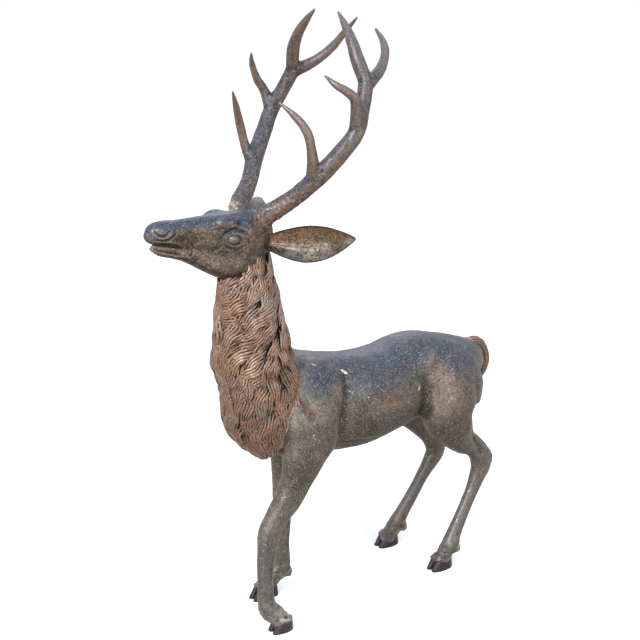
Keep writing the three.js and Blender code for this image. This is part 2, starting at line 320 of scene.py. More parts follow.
def glow(points, spots, sides=(1, -1)):  # soft spots: centre, radius, strength; alike on both sides
    total = np.zeros(len(points))
    for centre, radius, strength in spots:
        for sign in sides:
            gap = (((points - np.array(centre) * (sign, 1, 1)) / radius) ** 2).sum(1)
            total += strength * np.exp(-gap)
    return np.clip(total, 0, 1)


def hollows(piece, rounds, gain):  # over 0.5 on ridges, under it in grooves
    edges = edgesOf(piece)
    points = pointsOf(piece)
    normals = normalsOf(piece)
    blurred = points
    for _ in range(rounds):
        blurred = neighbourMean(blurred, edges)
    return np.clip(0.5 + gain * ((points - blurred) * normals).sum(1), 0, 1)


# The body: trunk and legs in one skin.
body = {
    "voxel": 3.95,
    "trunk": [
        (0, -345, 600, 74, 60, 90), (0, -290, 600, 96, 118, 130), (0, -215, 600, 104, 142, 143),
        (0, -140, 596, 112, 136, 143), (0, -60, 592, 119, 126, 148), (0, 20, 592, 122, 122, 147),
        (0, 100, 600, 119, 120, 135), (0, 160, 610, 113, 125, 127), (0, 220, 618, 108, 120, 120),
        (0, 290, 622, 102, 99, 108), (0, 350, 622, 90, 84, 100), (0, 405, 622, 72, 67, 82),
        (0, 440, 622, 48, 50, 58)],
    "leftFore": [
        (97, -334, 18, 20, 21, 23), (96, -346, 42, 21, 23, 29), (93, -370, 72, 23, 27, 27),
        (88, -375, 105, 20, 23, 24), (86, -375, 150, 19, 22, 23), (82, -372, 200, 20, 24, 24),
        (79, -363, 245, 23, 30, 28), (78, -354, 285, 27, 35, 31), (80, -334, 325, 27, 34, 33),
        (85, -303, 368, 31, 42, 41), (88, -281, 410, 34, 46, 44), (91, -266, 448, 40, 54, 54),
        (93, -256, 490, 45, 64, 74), (90, -246, 535, 47, 68, 98), (84, -238, 590, 46, 74, 108)],
    "rightFore": [
        (-84, -266, 22, 22, 26, 26), (-80, -250, 48, 21, 24, 24), (-73, -215, 80, 23, 27, 28),
        (-71, -210, 112, 19, 23, 23), (-70, -210, 160, 17, 20, 20), (-70, -207, 215, 18, 21, 21),
        (-71, -207, 262, 22, 27, 25), (-73, -208, 300, 25, 31, 28), (-75, -208, 340, 25, 30, 28),
        (-78, -208, 385, 27, 30, 34), (-81, -206, 430, 32, 34, 44), (-86, -210, 478, 40, 44, 60),
        (-90, -226, 530, 46, 62, 86), (-84, -234, 590, 46, 72, 104)],
    # where the legs run up into the trunk, left side
    "shoulder": [(74, -222, 645, 40, 76, 98), (62, -200, 695, 27, 60, 68), (52, -190, 730, 12, 30, 34)],
    "thigh": [
        (100, 266, 500, 50, 90, 96), (95, 268, 555, 53, 104, 118), (84, 286, 615, 46, 104, 122),
        (68, 304, 662, 32, 84, 96), (54, 316, 694, 14, 46, 52)],
    "leftHind": [
        (82, 268, 20, 21, 24, 25), (89, 276, 48, 21, 24, 25), (98, 291, 82, 23, 27, 30),
        (98, 304, 112, 20, 23, 26), (97, 325, 147, 18, 21, 23), (96, 344, 180, 17, 20, 22),
        (94, 376, 234, 17, 21, 24), (92, 394, 268, 20, 25, 28), (92, 408, 298, 24, 31, 34),
        (92, 411, 325, 25, 38, 37), (92, 395, 352, 25, 32, 36), (93, 366, 380, 27, 33, 36),
        (95, 331, 405, 32, 44, 42), (98, 300, 440, 41, 60, 58)],
    "rightHind": [
        (-135, 238, 20, 21, 23, 25), (-120, 241, 50, 21, 25, 25), (-108, 254, 84, 22, 27, 28),
        (-103, 269, 112, 19, 23, 24), (-99, 290, 146, 17, 21, 22), (-96, 312, 180, 17, 20, 21),
        (-93, 340, 225, 17, 21, 22), (-90, 364, 260, 20, 25, 26), (-88, 385, 292, 24, 31, 32),
        (-88, 389, 316, 25, 35, 34), (-89, 376, 342, 25, 33, 33), (-90, 357, 364, 26, 30, 32),
        (-93, 337, 388, 30, 34, 38), (-97, 316, 414, 36, 41, 50), (-99, 292, 450, 44, 60, 66)],
    # centre, radius and height of each muscle or bone that swells or sinks under the skin, left side
    "bumps": [
        ((112, -185, 615), (60, 46, 74), 9), ((112, -292, 588), (34, 34, 40), 6),
        ((100, -176, 505), (26, 20, 28), 6), ((60, -150, 716), (34, 22, 24), 4),
        ((100, -100, 655), (44, 34, 66), -5), ((112, 112, 655), (50, 50, 44), -6),
        ((92, 196, 690), (34, 30, 24), 6), ((135, 262, 585), (60, 62, 80), 8),
        ((142, 200, 515), (34, 30, 40), 6), ((118, 300, 430), (26, 26, 34), 5),
        ((40, 420, 625), (22, 20, 30), 6), ((118, -40, 560), (40, 60, 50), 4),
        ((60, 60, 470), (50, 90, 24), -4), ((90, 438, 330), (22, 24, 20), 6)],
    # path, width and depth of each furrow between them
    "grooves": [
        ([(98, -112, 712), (112, -116, 668), (118, -126, 628), (116, -139, 572), (110, -146, 520),
          (96, -168, 478)], 17, 7.5),
        ([(88, -330, 700), (104, -283, 653), (119, -264, 619), (127, -240, 588)], 13, 6.0),
        ([(112, 150, 650), (118, 158, 600), (112, 164, 560), (96, 172, 520), (86, 186, 490)], 17, 7.0),
        ([(112, 352, 640), (126, 340, 570), (132, 334, 500), (128, 330, 450)], 12, 5.0),
        ([(130, 322, 455), (124, 346, 420), (118, 372, 385), (112, 392, 352)], 10, 4.5)],
    "middleGrooves": [([(0, 436, 668), (0, 452, 620), (0, 440, 560), (0, 418, 530)], 12, 8)],
    "feet": [(97, -334, 64), (-84, -268, 84), (80, 266, 78), (-138, 238, 76)],  # x, y, hoof length
    # the skin that swells over each claw, and the dewclaws: how far aside of the leg, and half sizes
    "coronet": {"aside": 12.5, "behind": 7, "height": 35, "halfWidth": 14.5, "alongHoof": 0.4,
                "halfHeight": 11},
    "dewclaws": [(95, -341, 60), (-72, -194, 67), (101, 308, 67), (-105, 271, 71)],
    "dewclaw": {"aside": 12, "size": (9, 12, 17)},
    "fillet": 46,  # rounds of filling where the legs run into the trunk
    # the stations between which each leg's tendons show, and their grooves' width and depth
    "cannons": {"leftFore": (3, 7), "rightFore": (3, 7), "leftHind": (3, 8), "rightHind": (3, 8)},
    "tendon": (5, 2.6),
    # short strokes of hair: where the row starts and ends, one stroke's run, how many
    "hair": [
        ((112, -140, 500), (98, 10, 474), (-14, 24, -24), 15),
        ((98, -128, 474), (84, 26, 462), (-20, 26, -14), 13)],
    "hairStroke": (3.2, 2.2),  # width and depth
    # creased skin above the hooves: where it starts and ends, how deep and close the creases are
    "pastern": {"low": (26, 36), "high": (96, 72), "depth": 0.8, "pitch": 0.62, "waver": [(7, 17, 3)],
                "lumps": [(1.3, 10, 4)]},
    "skin": [(0.6, 30, 1), (0.4, 11, 2)],  # the unevenness of the cast skin
}


def tendonLines(stations, first, last):  # the hollow between bone and tendon, on both sides of a cannon
    lines = []
    for side in (-1, 1):
        path = [(x + side * w, y + back * 0.35, z) for x, y, z, w, _, back in stations[first:last]]
        lines.append((path, *body["tendon"]))
    return lines


def hairStrokes():
    strokes = []
    for start, end, run, count in body["hair"]:
        for k in range(count):
            root = np.array(start) + (np.array(end) - start) * k / (count - 1)
            sway = 5 * math.sin(k * 2.4)
            bend = np.array(run) * 0.5 + (0, 0, sway * 0.4)
            tip = root + np.array(run) + (0, sway, sway * 0.3)
            strokes.append(([root, root + bend, tip], *body["hairStroke"]))
    return strokes


def buildBody():
    shells = [loft(body["trunk"], (22, 22), sides=96, square=2.25)]
    for end, top in (("Fore", "shoulder"), ("Hind", "thigh")):
        for leg in (body["left" + end] + body[top], body["right" + end] + mirrored(body[top])):
            shells.append(loft(leg, (6, 8), square=2.1))
    coronet, dewclaw = body["coronet"], body["dewclaw"]
    for x, y, length in body["feet"]:
        for side in (-1, 1):
            shells.append(ball(
                np.array([x + side * coronet["aside"], y + coronet["behind"], coronet["height"]]),
                np.array([coronet["halfWidth"], length * coronet["alongHoof"], coronet["halfHeight"]])))
    for x, y, z in body["dewclaws"]:
        for side in (-1, 1):
            shells.append(ball(np.array([x + side * dewclaw["aside"], y, z]), np.array(dewclaw["size"])))
    piece = fused("stagBody", shells, body["voxel"])
    softened(piece, 1, fill=body["fillet"], where=lambda p: smoothStep(90, 200, p[:, 2]) * 0.9 + 0.1)
    worked(piece, body["grooves"], body["bumps"])
    worked(piece, body["middleGrooves"], sides=(1,))
    for leg, (first, last) in body["cannons"].items():
        worked(piece, tendonLines(body[leg], first, last), sides=(1,))
    softened(piece, 2)
    worked(piece, hairStrokes())
    points, normals = pointsOf(piece), normalsOf(piece)
    pastern, height = body["pastern"], points[:, 2]
    creased = smoothStep(*pastern["high"], height) * smoothStep(*pastern["low"], height)
    waver = height + ripple(points, pastern["waver"])
    folds = pastern["depth"] * np.sin(waver * pastern["pitch"]) + ripple(points, pastern["lumps"])
    points += normals * (creased * folds)[:, None]
    points += normals * ripple(points, body["skin"])[:, None]
    setPoints(piece, points)
    return piece


stagBody = buildBody()
print("body", len(stagBody.data.polygons))


# Head and ears are shaped straight ahead and then turned.
turnHead = (Matrix.Translation(headSet["pivot"])
            @ Matrix.Rotation(math.radians(headSet["turn"]), 4, "Z")
            @ Matrix.Rotation(math.radians(headSet["tilt"]), 4, "Y")
            @ Matrix.Translation([-v for v in headSet["pivot"]]))


def turned(piece):
    points = pointsOf(piece)
    turn = np.array(turnHead)
    setPoints(piece, points @ turn[:3, :3].T + turn[:3, 3])


head = {
    "voxel": 1.5,
    "skull": [
        (0, -640, 1096, 17, 18, 15), (0, -626, 1101, 25, 30, 24), (0, -602, 1104, 29, 33, 30),
        (0, -574, 1102, 29, 34, 36), (0, -544, 1100, 29, 38, 42), (0, -510, 1096, 34, 44, 52),
        (0, -474, 1090, 43, 52, 66), (0, -438, 1084, 51, 60, 78), (0, -400, 1078, 55, 68, 84),
        (0, -360, 1078, 54, 68, 84), (0, -325, 1078, 44, 56, 66)],
    "jaw": [
        (0, -630, 1070, 15, 9, 7), (0, -612, 1065, 21, 12, 14), (0, -585, 1058, 23, 13, 15),
        (0, -550, 1048, 27, 20, 16), (0, -515, 1034, 31, 38, 20), (0, -475, 1018, 39, 52, 26),
        (0, -435, 1008, 48, 64, 34), (0, -398, 1008, 52, 64, 36), (0, -365, 1020, 46, 50, 40)],
    "brow": ((30, -443, 1123), (24, 38, 17)),
    "eyeball": ((45, -431, 1085), (13.5, 18, 14.5)),
    "opening": (24, 13.5),  # half length and half height of the gap between the lids
    "eyesBeyond": 38,  # how far out from the middle the eyes start
    "fillet": 150,  # rounds of filling between skull, jaw and brows
    "skin": [(0.25, 7, 5), (0.3, 16, 6)],
    "bumps": [  # centre, radius and height
        ((52, -405, 1015), (26, 40, 40), 4), ((28, -446, 1136), (20, 30, 18), 8),
        ((56, -376, 1110), (26, 30, 24), 7), ((50, -352, 1078), (18, 22, 26), 6),
        ((27, -614, 1118), (12, 14, 12), 4), ((30, -560, 1090), (18, 30, 12), -2),
        ((36, -500, 1078), (16, 30, 16), 2), ((16, -640, 1092), (12, 10, 8), 2),
        ((45, -480, 1088), (14, 16, 12), -2.5)],
    "grooves": [  # path, width and depth; a minus depth stands proud
        # upper lid, lower lid, the fold below and the brow's fold
        ([(46, -457, 1080), (51, -447, 1095), (57, -431, 1101), (59, -414, 1095), (58, -405, 1083)],
         2.4, -1.8),
        ([(46, -457, 1078), (52, -445, 1071), (57, -431, 1067), (58, -416, 1070), (58, -405, 1080)],
         2.4, -1.4),
        ([(45, -460, 1072), (51, -446, 1062), (56, -428, 1058), (58, -408, 1064)], 3.4, 1.6),
        ([(43, -466, 1084), (50, -455, 1102), (56, -432, 1110), (59, -408, 1103), (59, -395, 1089)],
         3.4, 3.0),
        ([(42, -473, 1088), (49, -460, 1110), (56, -432, 1119), (60, -405, 1112), (60, -390, 1094)],
         4.5, -1.8),
        # tear furrows and the small mark behind the eye
        ([(41, -479, 1056), (44, -468, 1067), (46, -459, 1078)], 3.0, 2.6),
        ([(38, -488, 1052), (41, -478, 1064), (43, -470, 1080)], 2.8, 2.0),
        ([(58, -399, 1086), (59, -394, 1078), (59, -392, 1068)], 2.4, 2.0),
        # mouth, lips and the fold round its corner
        ([(0, -646, 1081), (14, -641, 1079), (23, -624, 1076), (27, -600, 1070), (28, -575, 1063),
          (27, -555, 1057)], 6.2, 10.0),
        ([(0, -644, 1092), (14, -640, 1091), (25, -622, 1089), (30, -598, 1085), (30, -574, 1080),
          (30, -556, 1074)], 2.6, -1.8),
        ([(8, -636, 1068), (18, -624, 1065), (24, -600, 1060), (27, -577, 1053), (28, -556, 1048)],
         2.6, -2.0),
        ([(28, -549, 1084), (32, -538, 1075), (31, -534, 1060), (26, -545, 1044)], 2.8, 2.6),
        # nostril, its lip and its wing
        ([(20, -632, 1119), (24, -626, 1109), (28, -612, 1105), (30, -601, 1111), (29, -598, 1120)],
         2.4, 4.6),
        ([(20, -636, 1110), (27, -622, 1101), (30, -606, 1099), (31, -593, 1107), (29, -589, 1122)],
         2.2, -2.2),
        ([(22, -638, 1098), (28, -618, 1091), (31, -598, 1092), (31, -583, 1106), (28, -580, 1124)],
         2.6, 3.0),
        # creases along the muzzle
        ([(26, -570, 1124), (30, -558, 1112), (31, -545, 1100)], 2.4, 1.2),
        ([(24, -562, 1126), (29, -550, 1114), (31, -536, 1102)], 2.4, 1.2),
        ([(31, -540, 1092), (32, -524, 1093), (33, -506, 1090)], 2.4, 1.0),
        ([(31, -538, 1074), (34, -518, 1062), (37, -500, 1049), (38, -486, 1043)], 2.4, -2.2),
        ([(31, -536, 1068), (34, -516, 1056), (37, -498, 1043)], 2.8, 2.2),
        ([(46, -432, 978), (56, -402, 1006), (60, -384, 1036), (60, -374, 1060)], 10, 1.5),
        ([(30, -545, 1046), (36, -500, 1022), (44, -455, 994)], 7, 1.2)],
    "muzzleAheadOf": -540,
    # where bare yellow metal shows on the muzzle: along the mouth and under the nostril, and how wide
    "bare": [([(16, -622, 1074), (20, -600, 1069), (22, -575, 1062), (22, -556, 1057)], 6),
             ([(18, -630, 1079), (24, -612, 1076)], 4),
             ([(20, -634, 1112), (26, -621, 1103), (30, -606, 1101), (31, -595, 1109)], 2.6)],
}


def buildHead():
    shells = [loft(head["skull"], (8, 20), step=3, sides=96, square=2.2, egg=0.12),
              loft(head["jaw"], (6, 12), step=3, sides=80, square=2.1)]
    for sign in (1, -1):
        centre, sizes = (np.array(v, float) for v in head["brow"])
        shells.append(ball(centre * (sign, 1, 1), sizes))
    piece = fused("stagHead", shells, head["voxel"])
    softened(piece, 2, fill=head["fillet"])
    worked(piece, bumps=head["bumps"])
    worked(piece, head["grooves"])
    points = pointsOf(piece)
    points = 0.5 * points + 0.5 * neighbourMean(points, edgesOf(piece))
    # the eyeball stays a clean round form between the lids
    centre, sizes = (np.array(v, float) for v in head["eyeball"])
    halfLong, halfHigh = head["opening"]
    for sign in (1, -1):
        away = (points - centre * (sign, 1, 1)) / sizes
        reach = np.linalg.norm(away, axis=1)
        gap = ((points[:, 1] - centre[1]) / halfLong) ** 2 + ((points[:, 2] - centre[2]) / halfHigh) ** 2
        pull = smoothStep(1.0, 0.7, gap) * (points[:, 0] * sign > head["eyesBeyond"])
        pushed = centre * (sign, 1, 1) + away / np.maximum(reach, 0.1)[:, None] * sizes
        points = points + (pushed - points) * pull[:, None]
    setPoints(piece, points)
    normals = normalsOf(piece)
    points += normals * ripple(points, head["skin"])[:, None]
    setPoints(piece, points)
    brass = np.zeros(len(points))  # bare metal deep in the mouth and the nostrils
    near = np.where(points[:, 1] < head["muzzleAheadOf"])[0]
    for path, width in head["bare"]:
        for sign in (1, -1):
            line = curveThrough(np.array(path, float) * (sign, 1, 1), np.linspace(0, 1, 30))
            gap = np.linalg.norm(points[near][:, None] - line[None], axis=2).min(1)
            brass[near] = np.maximum(brass[near], smoothStep(width * 1.2, width * 0.4, gap))
    keepMask(piece, "brass", brass)
    turned(piece)
    return piece


ear = {
    "root": (38, -347, 1072), "length": 255, "halfWidth": 40, "stem": 13, "cup": 24, "wall": 6, "rim": 2.5,
    "back": (0.8, 0.59),  # how far out and how far back each points
    # how far each rises, the way its cup faces, and how much of the inside's colours show: less on the far
    # ear, as painted shade
    "left": (0.14, (0.5, -0.8, 0.32), 1.0), "right": (0.19, (0.3, -0.85, -0.35), 0.3),
    "ribs": [(-0.15, 0.1, 1.5), (0.4, 0.07, 0.8)],  # inside the cup: place across, width, height
    "turnedRim": (0.93, 0.06, 2.0),
    "skin": [(0.5, 16, 7)],
    "wander": [(0.45, 34, 8), (0.25, 13, 9)],  # how the tints' edges stray
    "across": 33, "along": 90,  # points
}


def ridge(across, place, width, height):  # along the ear, at a place across it
    return height * np.exp(-((across - place) / width) ** 2)


def earLeaf(sign, rise, facing, cupLitShare):
    way = unit(np.array([sign * ear["back"][0], ear["back"][1], rise]))
    opening = np.array(facing) * (sign, 1, 1)
    opening = unit(opening - way * (opening @ way))
    up = np.cross(way, opening) * -sign
    spread = np.linspace(-1, 1, ear["across"])
    rings, shares, inside, edge = [], [], [], []
    for share in np.linspace(0, 0.985, ear["along"]):
        half = ear["stem"] * (1 - share) + ear["halfWidth"] * math.sin(math.pi * share ** 1.14) ** 0.86
        centre = np.array(ear["root"]) * (sign, 1, 1) + way * ear["length"] * share - up * 0.25 * half
        depth = ear["cup"] * min(half / ear["halfWidth"], 1) * (1 - spread ** 2)
        wall = ear["rim"] + ear["wall"] * (1 - spread ** 2) * (1 - 0.6 * share)
        ribs = sum(ridge(spread, *rib) for rib in ear["ribs"])
        lift = ribs * math.sin(math.pi * share) + ridge(np.abs(spread), *ear["turnedRim"])
        back = centre + np.outer(spread * half, up) - np.outer(depth + wall, opening)
        front = (centre + np.outer(spread * half, up) - np.outer(depth - lift, opening))[::-1]
        ring = np.vstack([back, front])
        sides = np.concatenate([spread, spread[::-1]])
        # the far ear's cup keeps less of its inner colours: painted shade
        cup = np.concatenate([0 * spread, cupLitShare + 0 * spread])
        if sign < 0:
            ring, sides, cup = ring[::-1], sides[::-1], cup[::-1]
        rings.append(ring)
        shares.append(share + 0 * sides)
        inside.append(cup)
        edge.append(sides)
    rings = np.array(rings)
    tones = [np.append(np.concatenate(rows), (rows[0][0], rows[-1][0])) for rows in (shares, inside, edge)]
    return wrap(rings, rings[0].mean(0), rings[-1].mean(0)), tones


def buildEars():
    leftShell, leftTones = earLeaf(1, *ear["left"])
    rightShell, rightTones = earLeaf(-1, *ear["right"])
    piece = meshObject("stagEars", [leftShell, rightShell])
    share, inside, edge = (np.concatenate(pair) for pair in zip(leftTones, rightTones))
    points, normals = pointsOf(piece), normalsOf(piece)
    points += normals * ripple(points, ear["skin"])[:, None]
    setPoints(piece, points)
    wander = ripple(points, ear["wander"])
    keepMask(piece, "brass", inside * smoothStep(-0.8, 0.7, edge + 0.5 * (0.4 - share) + wander))
    low = smoothStep(0.6, -0.8, edge + 0.7 * (0.55 - share) + wander)
    keepMask(piece, "pale", inside * low * smoothStep(0.0, 0.5, share))
    # a black rim along the edges, and painted shade deep in the cup at its root
    rim = np.maximum(smoothStep(0.86, 0.97, np.abs(edge)), smoothStep(0.12, 0.02, share) * inside)
    keepMask(piece, "rim", rim)
    # the outside in slate patina; the far ear's cup takes some of it too, as painted shade
    keepMask(piece, "slateAndSkyReflection", 1 - inside)
    turned(piece)
    return piece


stagHead = buildHead()
print("head", len(stagHead.data.polygons))
stagEars = buildEars()
print("ears", len(stagEars.data.polygons))


# Antlers: beams and tines melted into one another.
antlers = {
    "voxel": 2.7,
    "fillet": 110,  # rounds of filling where the tines leave the beam
    "parts": {  # x, y, z and radius along each, on the left
        "beam": [(40, -382, 1086, 16), (58, -364, 1121, 24), (74, -352, 1146, 25), (114, -302, 1192, 22.5),
                 (156, -263, 1247, 23), (186, -223, 1303, 22), (206, -188, 1362, 20.5),
                 (188, -160, 1426, 19), (166, -138, 1488, 19)],
        "brow": [(152, -272, 1240, 19), (166, -286, 1290, 13), (168, -302, 1345, 11.5),
                 (148, -325, 1388, 9), (116, -353, 1426, 3.5)],
        "second": [(206, -188, 1368, 18), (218, -203, 1423, 13), (214, -228, 1453, 11),
                   (202, -250, 1479, 8.5), (178, -267, 1505, 3)],
        "crownFront": [(172, -144, 1476, 18), (150, -157, 1527, 17), (127, -159, 1566, 14),
                       (93, -158, 1602, 10), (54, -155, 1634, 3)],
        "crownBack": [(172, -136, 1472, 18), (150, -88, 1508, 14), (123, -57, 1540, 11.5),
                      (88, -38, 1574, 9), (42, -32, 1605, 3)]},
    # how much higher or lower each point of a tine sits, root to tip
    "leftLifts": {
        "brow": (0, 12, 12, 6, 0), "second": (0, 12, 6, -6, -12), "crownBack": (0, -6, -6, -12, -12)},
    "rightLifts": {
        "brow": (0, -12, -12, -6, 0), "second": (0, -8, -6, 6, 11), "crownBack": (0, -10, -8, 2, 11)},
    # the rough lower part, smooth again between these heights
    "pearls": {"waves": [(1.0, 8, 5), (0.4, 5, 8)], "height": 2.4, "sunk": 0.8, "fade": (1290, 1140)},
    "channels": {"height": 0.7, "stretch": (1, 1, 0.2), "size": 10, "seed": 4},  # run along the beams
    "skin": [(0.5, 40, 6)],
    # the knobbly collar where the beam leaves the skull
    "burr": {"at": (63, -361, 1131), "along": (0.45, 0.4, 0.8), "height": 2.2, "reach": 10, "below": 1200,
             "waves": [(0.9, 9, 9)]},
}


def buildAntlers():
    shells = []
    for sign, lifts in ((1, antlers["leftLifts"]), (-1, antlers["rightLifts"])):
        for name, rows in antlers["parts"].items():
            raised = [(sign * x, y, z + lift, radius) for (x, y, z, radius), lift in zip(
                rows, lifts.get(name, [0] * len(rows)))]
            shells.append(tube(raised, step=3, sides=40))
    piece = fused("stagAntlers", shells, antlers["voxel"])
    softened(piece, 1, fill=antlers["fillet"])
    points, normals = pointsOf(piece), normalsOf(piece)
    pearls, channels, burr = antlers["pearls"], antlers["channels"], antlers["burr"]
    low = smoothStep(*pearls["fade"], points[:, 2])
    knobs = np.maximum(ripple(points, pearls["waves"]), 0)
    points += normals * (low * (pearls["height"] * knobs - pearls["sunk"]))[:, None]
    furrow = grainNoise(points * channels["stretch"], channels["size"], channels["seed"])
    points += normals * (channels["height"] * furrow + ripple(points, antlers["skin"]))[:, None]
    way = unit(np.array(burr["along"]))
    for sign in (1, -1):
        flip = np.array([sign, 1, 1])
        height = (points - np.array(burr["at"]) * flip) @ (way * flip)
        collar = np.exp(-(height / burr["reach"]) ** 2) * (points[:, 0] * sign > 0)
        collar *= points[:, 2] < burr["below"]
        knob = 0.5 + ripple(points, burr["waves"])
        points += normals * (collar * burr["height"] * knob)[:, None]
    setPoints(piece, points)
    turned(piece)
    softened(piece, 1)
    return piece


stagAntlers = buildAntlers()
print("antlers", len(stagAntlers.data.polygons))


# Hooves: two claws each, with a flat sole.
hoof = {
    "width": 50, "height": 37, "gap": 0.8, "wallLean": 22, "sides": 48, "levels": 16,
    "roundness": (0.35, 0.8), "taper": (0.0, 0.3),  # beside the other claw, and on the outer side
    "ringHeight": 0.35, "ringPitch": 30,  # growth rings round the wall
}


def claw(x, y, length, outward):
    half = hoof["width"] / 4
    angle = 2 * math.pi * np.arange(hoof["sides"]) / hoof["sides"]
    front = np.cos(angle)
    ahead = np.maximum(front, 0)
    inner = np.sin(angle) * outward < 0  # flat, against the other claw
    roundness = np.where(inner, *hoof["roundness"])
    taper = np.where(inner, *hoof["taper"])
    middle = x + outward * (half + hoof["gap"])
    rings = []
    for level in np.linspace(0, 1, hoof["levels"]):
        bevel = 1 - 0.06 * math.exp(-level * 16) - 0.08 * level
        across = signedPower(np.sin(angle), roundness) * half * bevel * (1 - taper * ahead)
        ringLine = hoof["ringHeight"] * math.sin(level * hoof["ringPitch"]) * math.sin(math.pi * level)
        rings.append(np.stack([
            middle + across * (1 + ringLine / half),
            y - signedPower(front, 0.9) * length / 2 * bevel + ahead * hoof["wallLean"] * level,
            hoof["height"] * level * (1 - 0.2 * (0.5 - front / 2))], 1))
    top = (middle, y + hoof["wallLean"] / 3, hoof["height"] * 0.95)
    return wrap(np.array(rings), (middle, y, 0.0), top)


stagHooves = meshObject("stagHooves", [
    claw(x, y, length, side) for x, y, length in body["feet"] for side in (1, -1)])
print("hooves", len(stagHooves.data.polygons))


# The tail is a short drop, with hair grooves that follow its curve.
tail = {
    "stations": [
        (0, 425, 668, 22, 18, 18), (0, 460, 665, 20, 17, 16), (0, 485, 640, 19, 16, 16),
        (0, 493, 608, 19, 17, 17), (0, 490, 578, 15, 15, 15), (0, 485, 556, 7, 7, 7)],
    "strands": 11, "depth": 2.6, "fineDepth": 0.7,  # round the tail, and how deep the grooves are
}


def tailHair(share, angle):
    turn = angle / (2 * math.pi) * tail["strands"] + 0.7 * np.sin(share * 5 + angle) + share * 0.9
    fine = np.abs(np.sin(turn * math.pi * 2.7 + share * 3)) ** 0.5
    return (np.abs(np.sin(turn * math.pi)) ** 0.6 - 0.7) * tail["depth"] + fine * tail["fineDepth"]


stagTail = meshObject("stagTail", [
    loft(tail["stations"], (8, 9), step=1.6, sides=160, relief=tailHair)])
print("tail", len(stagTail.data.polygons))


# The mane: a bed of bronze, and bundles of long cast strands that follow it downwards.
mane = {
    "outline": [
        (0, -316, 470, 16, 18, 14), (0, -315, 496, 50, 52, 38), (0, -314, 530, 82, 92, 68),
        (0, -310, 572, 100, 122, 90), (0, -310, 632, 109, 132, 100), (0, -320, 692, 108, 134, 100),
        (0, -344, 750, 102, 126, 104), (0, -357, 800, 94, 109, 102), (0, -362, 850, 88, 100, 93),
        (0, -366, 905, 81, 93, 85), (0, -370, 960, 68, 84, 80), (0, -376, 1012, 47, 60, 78),
        (0, -374, 1050, 40, 36, 74)],
    "sink": 10,  # how far the bed lies inside that outline
    "bedHeights": (472, 1050), "bedLumps": [(2.5, 42, 3), (1.5, 18, 4)],
    "seed": 7,
    "roots": (516, 1042), "tries": 20000,  # the heights where bundles may start, and places tried
    "bundles": 900, "gap": 17,  # the most there may be, and the least distance between two
    "strands": 4, "pitch": 9.4,  # in a bundle, and between their middles
    "steps": 9, "sides": 5, "girth": 4.3,  # points along a strand, corners round it, its radius
    "length": (56, 106), "uneven": (0.85, 1.08), "point": 470,  # the lowest ones meet at this height
    # how far bundles and strands stand out: in wide tufts and no lower than, each bundle, each strand
    "tufts": [(4.5, 55, 5)], "lowest": -2.0, "proud": (-2.5, 5.0), "jitter": 0.8,
    "arch": 8.5, "rootSunk": 4, "tipSunk": 3.5,  # how a strand rises from the bed and dips back
    "wave": 20, "waveLength": 88,  # degrees of swing along a strand, and its period
    "waver": 13,  # degrees by which one bundle leans from the next
    "parting": 740,  # the height where the neck's hair ends and the chest's begins
    # a strand goes if its root lies this deep in the body, or its fourth point this deep in the head
    "hidden": {"body": 7, "head": 6},
    # how deep in the body a strand stays sunk, and is laid on it instead; how far clear it then lies
    "laid": (15, 7), "clear": 1.5,
    # where it is rubbed to orange copper, along the shoulder and under the jaw: centre, radius, strength
    "rubbed": [((112, -262, 640), (26, 34, 90), 1.0), ((60, -430, 930), (30, 40, 60), 0.4)],
    # how far forward of straight down the hair leans, by height: height, in front, behind
    "lean": [(480, -16, 4), (560, -8, -8), (620, 12, -24), (680, 26, -34), (740, 42, -22), (800, 52, 6),
             (880, 56, 26), (960, 48, 26), (1020, 30, 10)],
}


def maneOutline(height):  # where its middle lies, its half width, and how deep it is in front and behind
    rows = np.array(mane["outline"], float)
    spine, table, width, front, back = curveThrough(rows[:, 1:], np.linspace(0, 1, 200)).T
    return [np.interp(height, table, row) for row in (spine, width, front, back)]


def maneSkin(turn, height, lift):  # place and outward way; turn is 0 on the left and a quarter behind
    spine, width, front, back = maneOutline(height)
    width = width - mane["sink"]
    depth = np.where(np.sin(turn) > 0, back, front) - mane["sink"]
    across, along = np.cos(turn), np.sin(turn)
    way = unit(np.stack([across / width, along / depth, 0 * across], -1))
    place = np.stack([width * across, spine + depth * along, height + 0 * across], -1)
    return place + way * np.asarray(lift)[..., None], way


def buildManeBed():
    height, turn = np.meshgrid(
        np.linspace(*mane["bedHeights"], 96), np.linspace(0, -2 * math.pi, 121)[:-1], indexing="ij")
    place, _ = maneSkin(turn, height, 0 * turn)
    lumps = ripple(place.reshape(-1, 3), mane["bedLumps"])
    rings, _ = maneSkin(turn, height, lumps.reshape(turn.shape))
    lowest, highest = rings[0].mean(0) - (0, 0, 3), rings[-1].mean(0) + (0, 0, 8)
    return meshObject("maneBed", [wrap(rings, lowest, highest)])


def bundleRoots():  # turn and height of each bundle, spread evenly over the mane
    dice = np.random.default_rng(mane["seed"])
    turns = dice.uniform(0, 2 * math.pi, mane["tries"])
    heights = dice.uniform(*mane["roots"], mane["tries"])
    places, _ = maneSkin(turns, heights, 0 * turns)
    kept = []
    for index, place in enumerate(places):
        if len(kept) < mane["bundles"] and (
                not kept or ((places[kept] - place) ** 2).sum(1).min() > mane["gap"] ** 2):
            kept.append(index)
    return turns[kept], heights[kept]


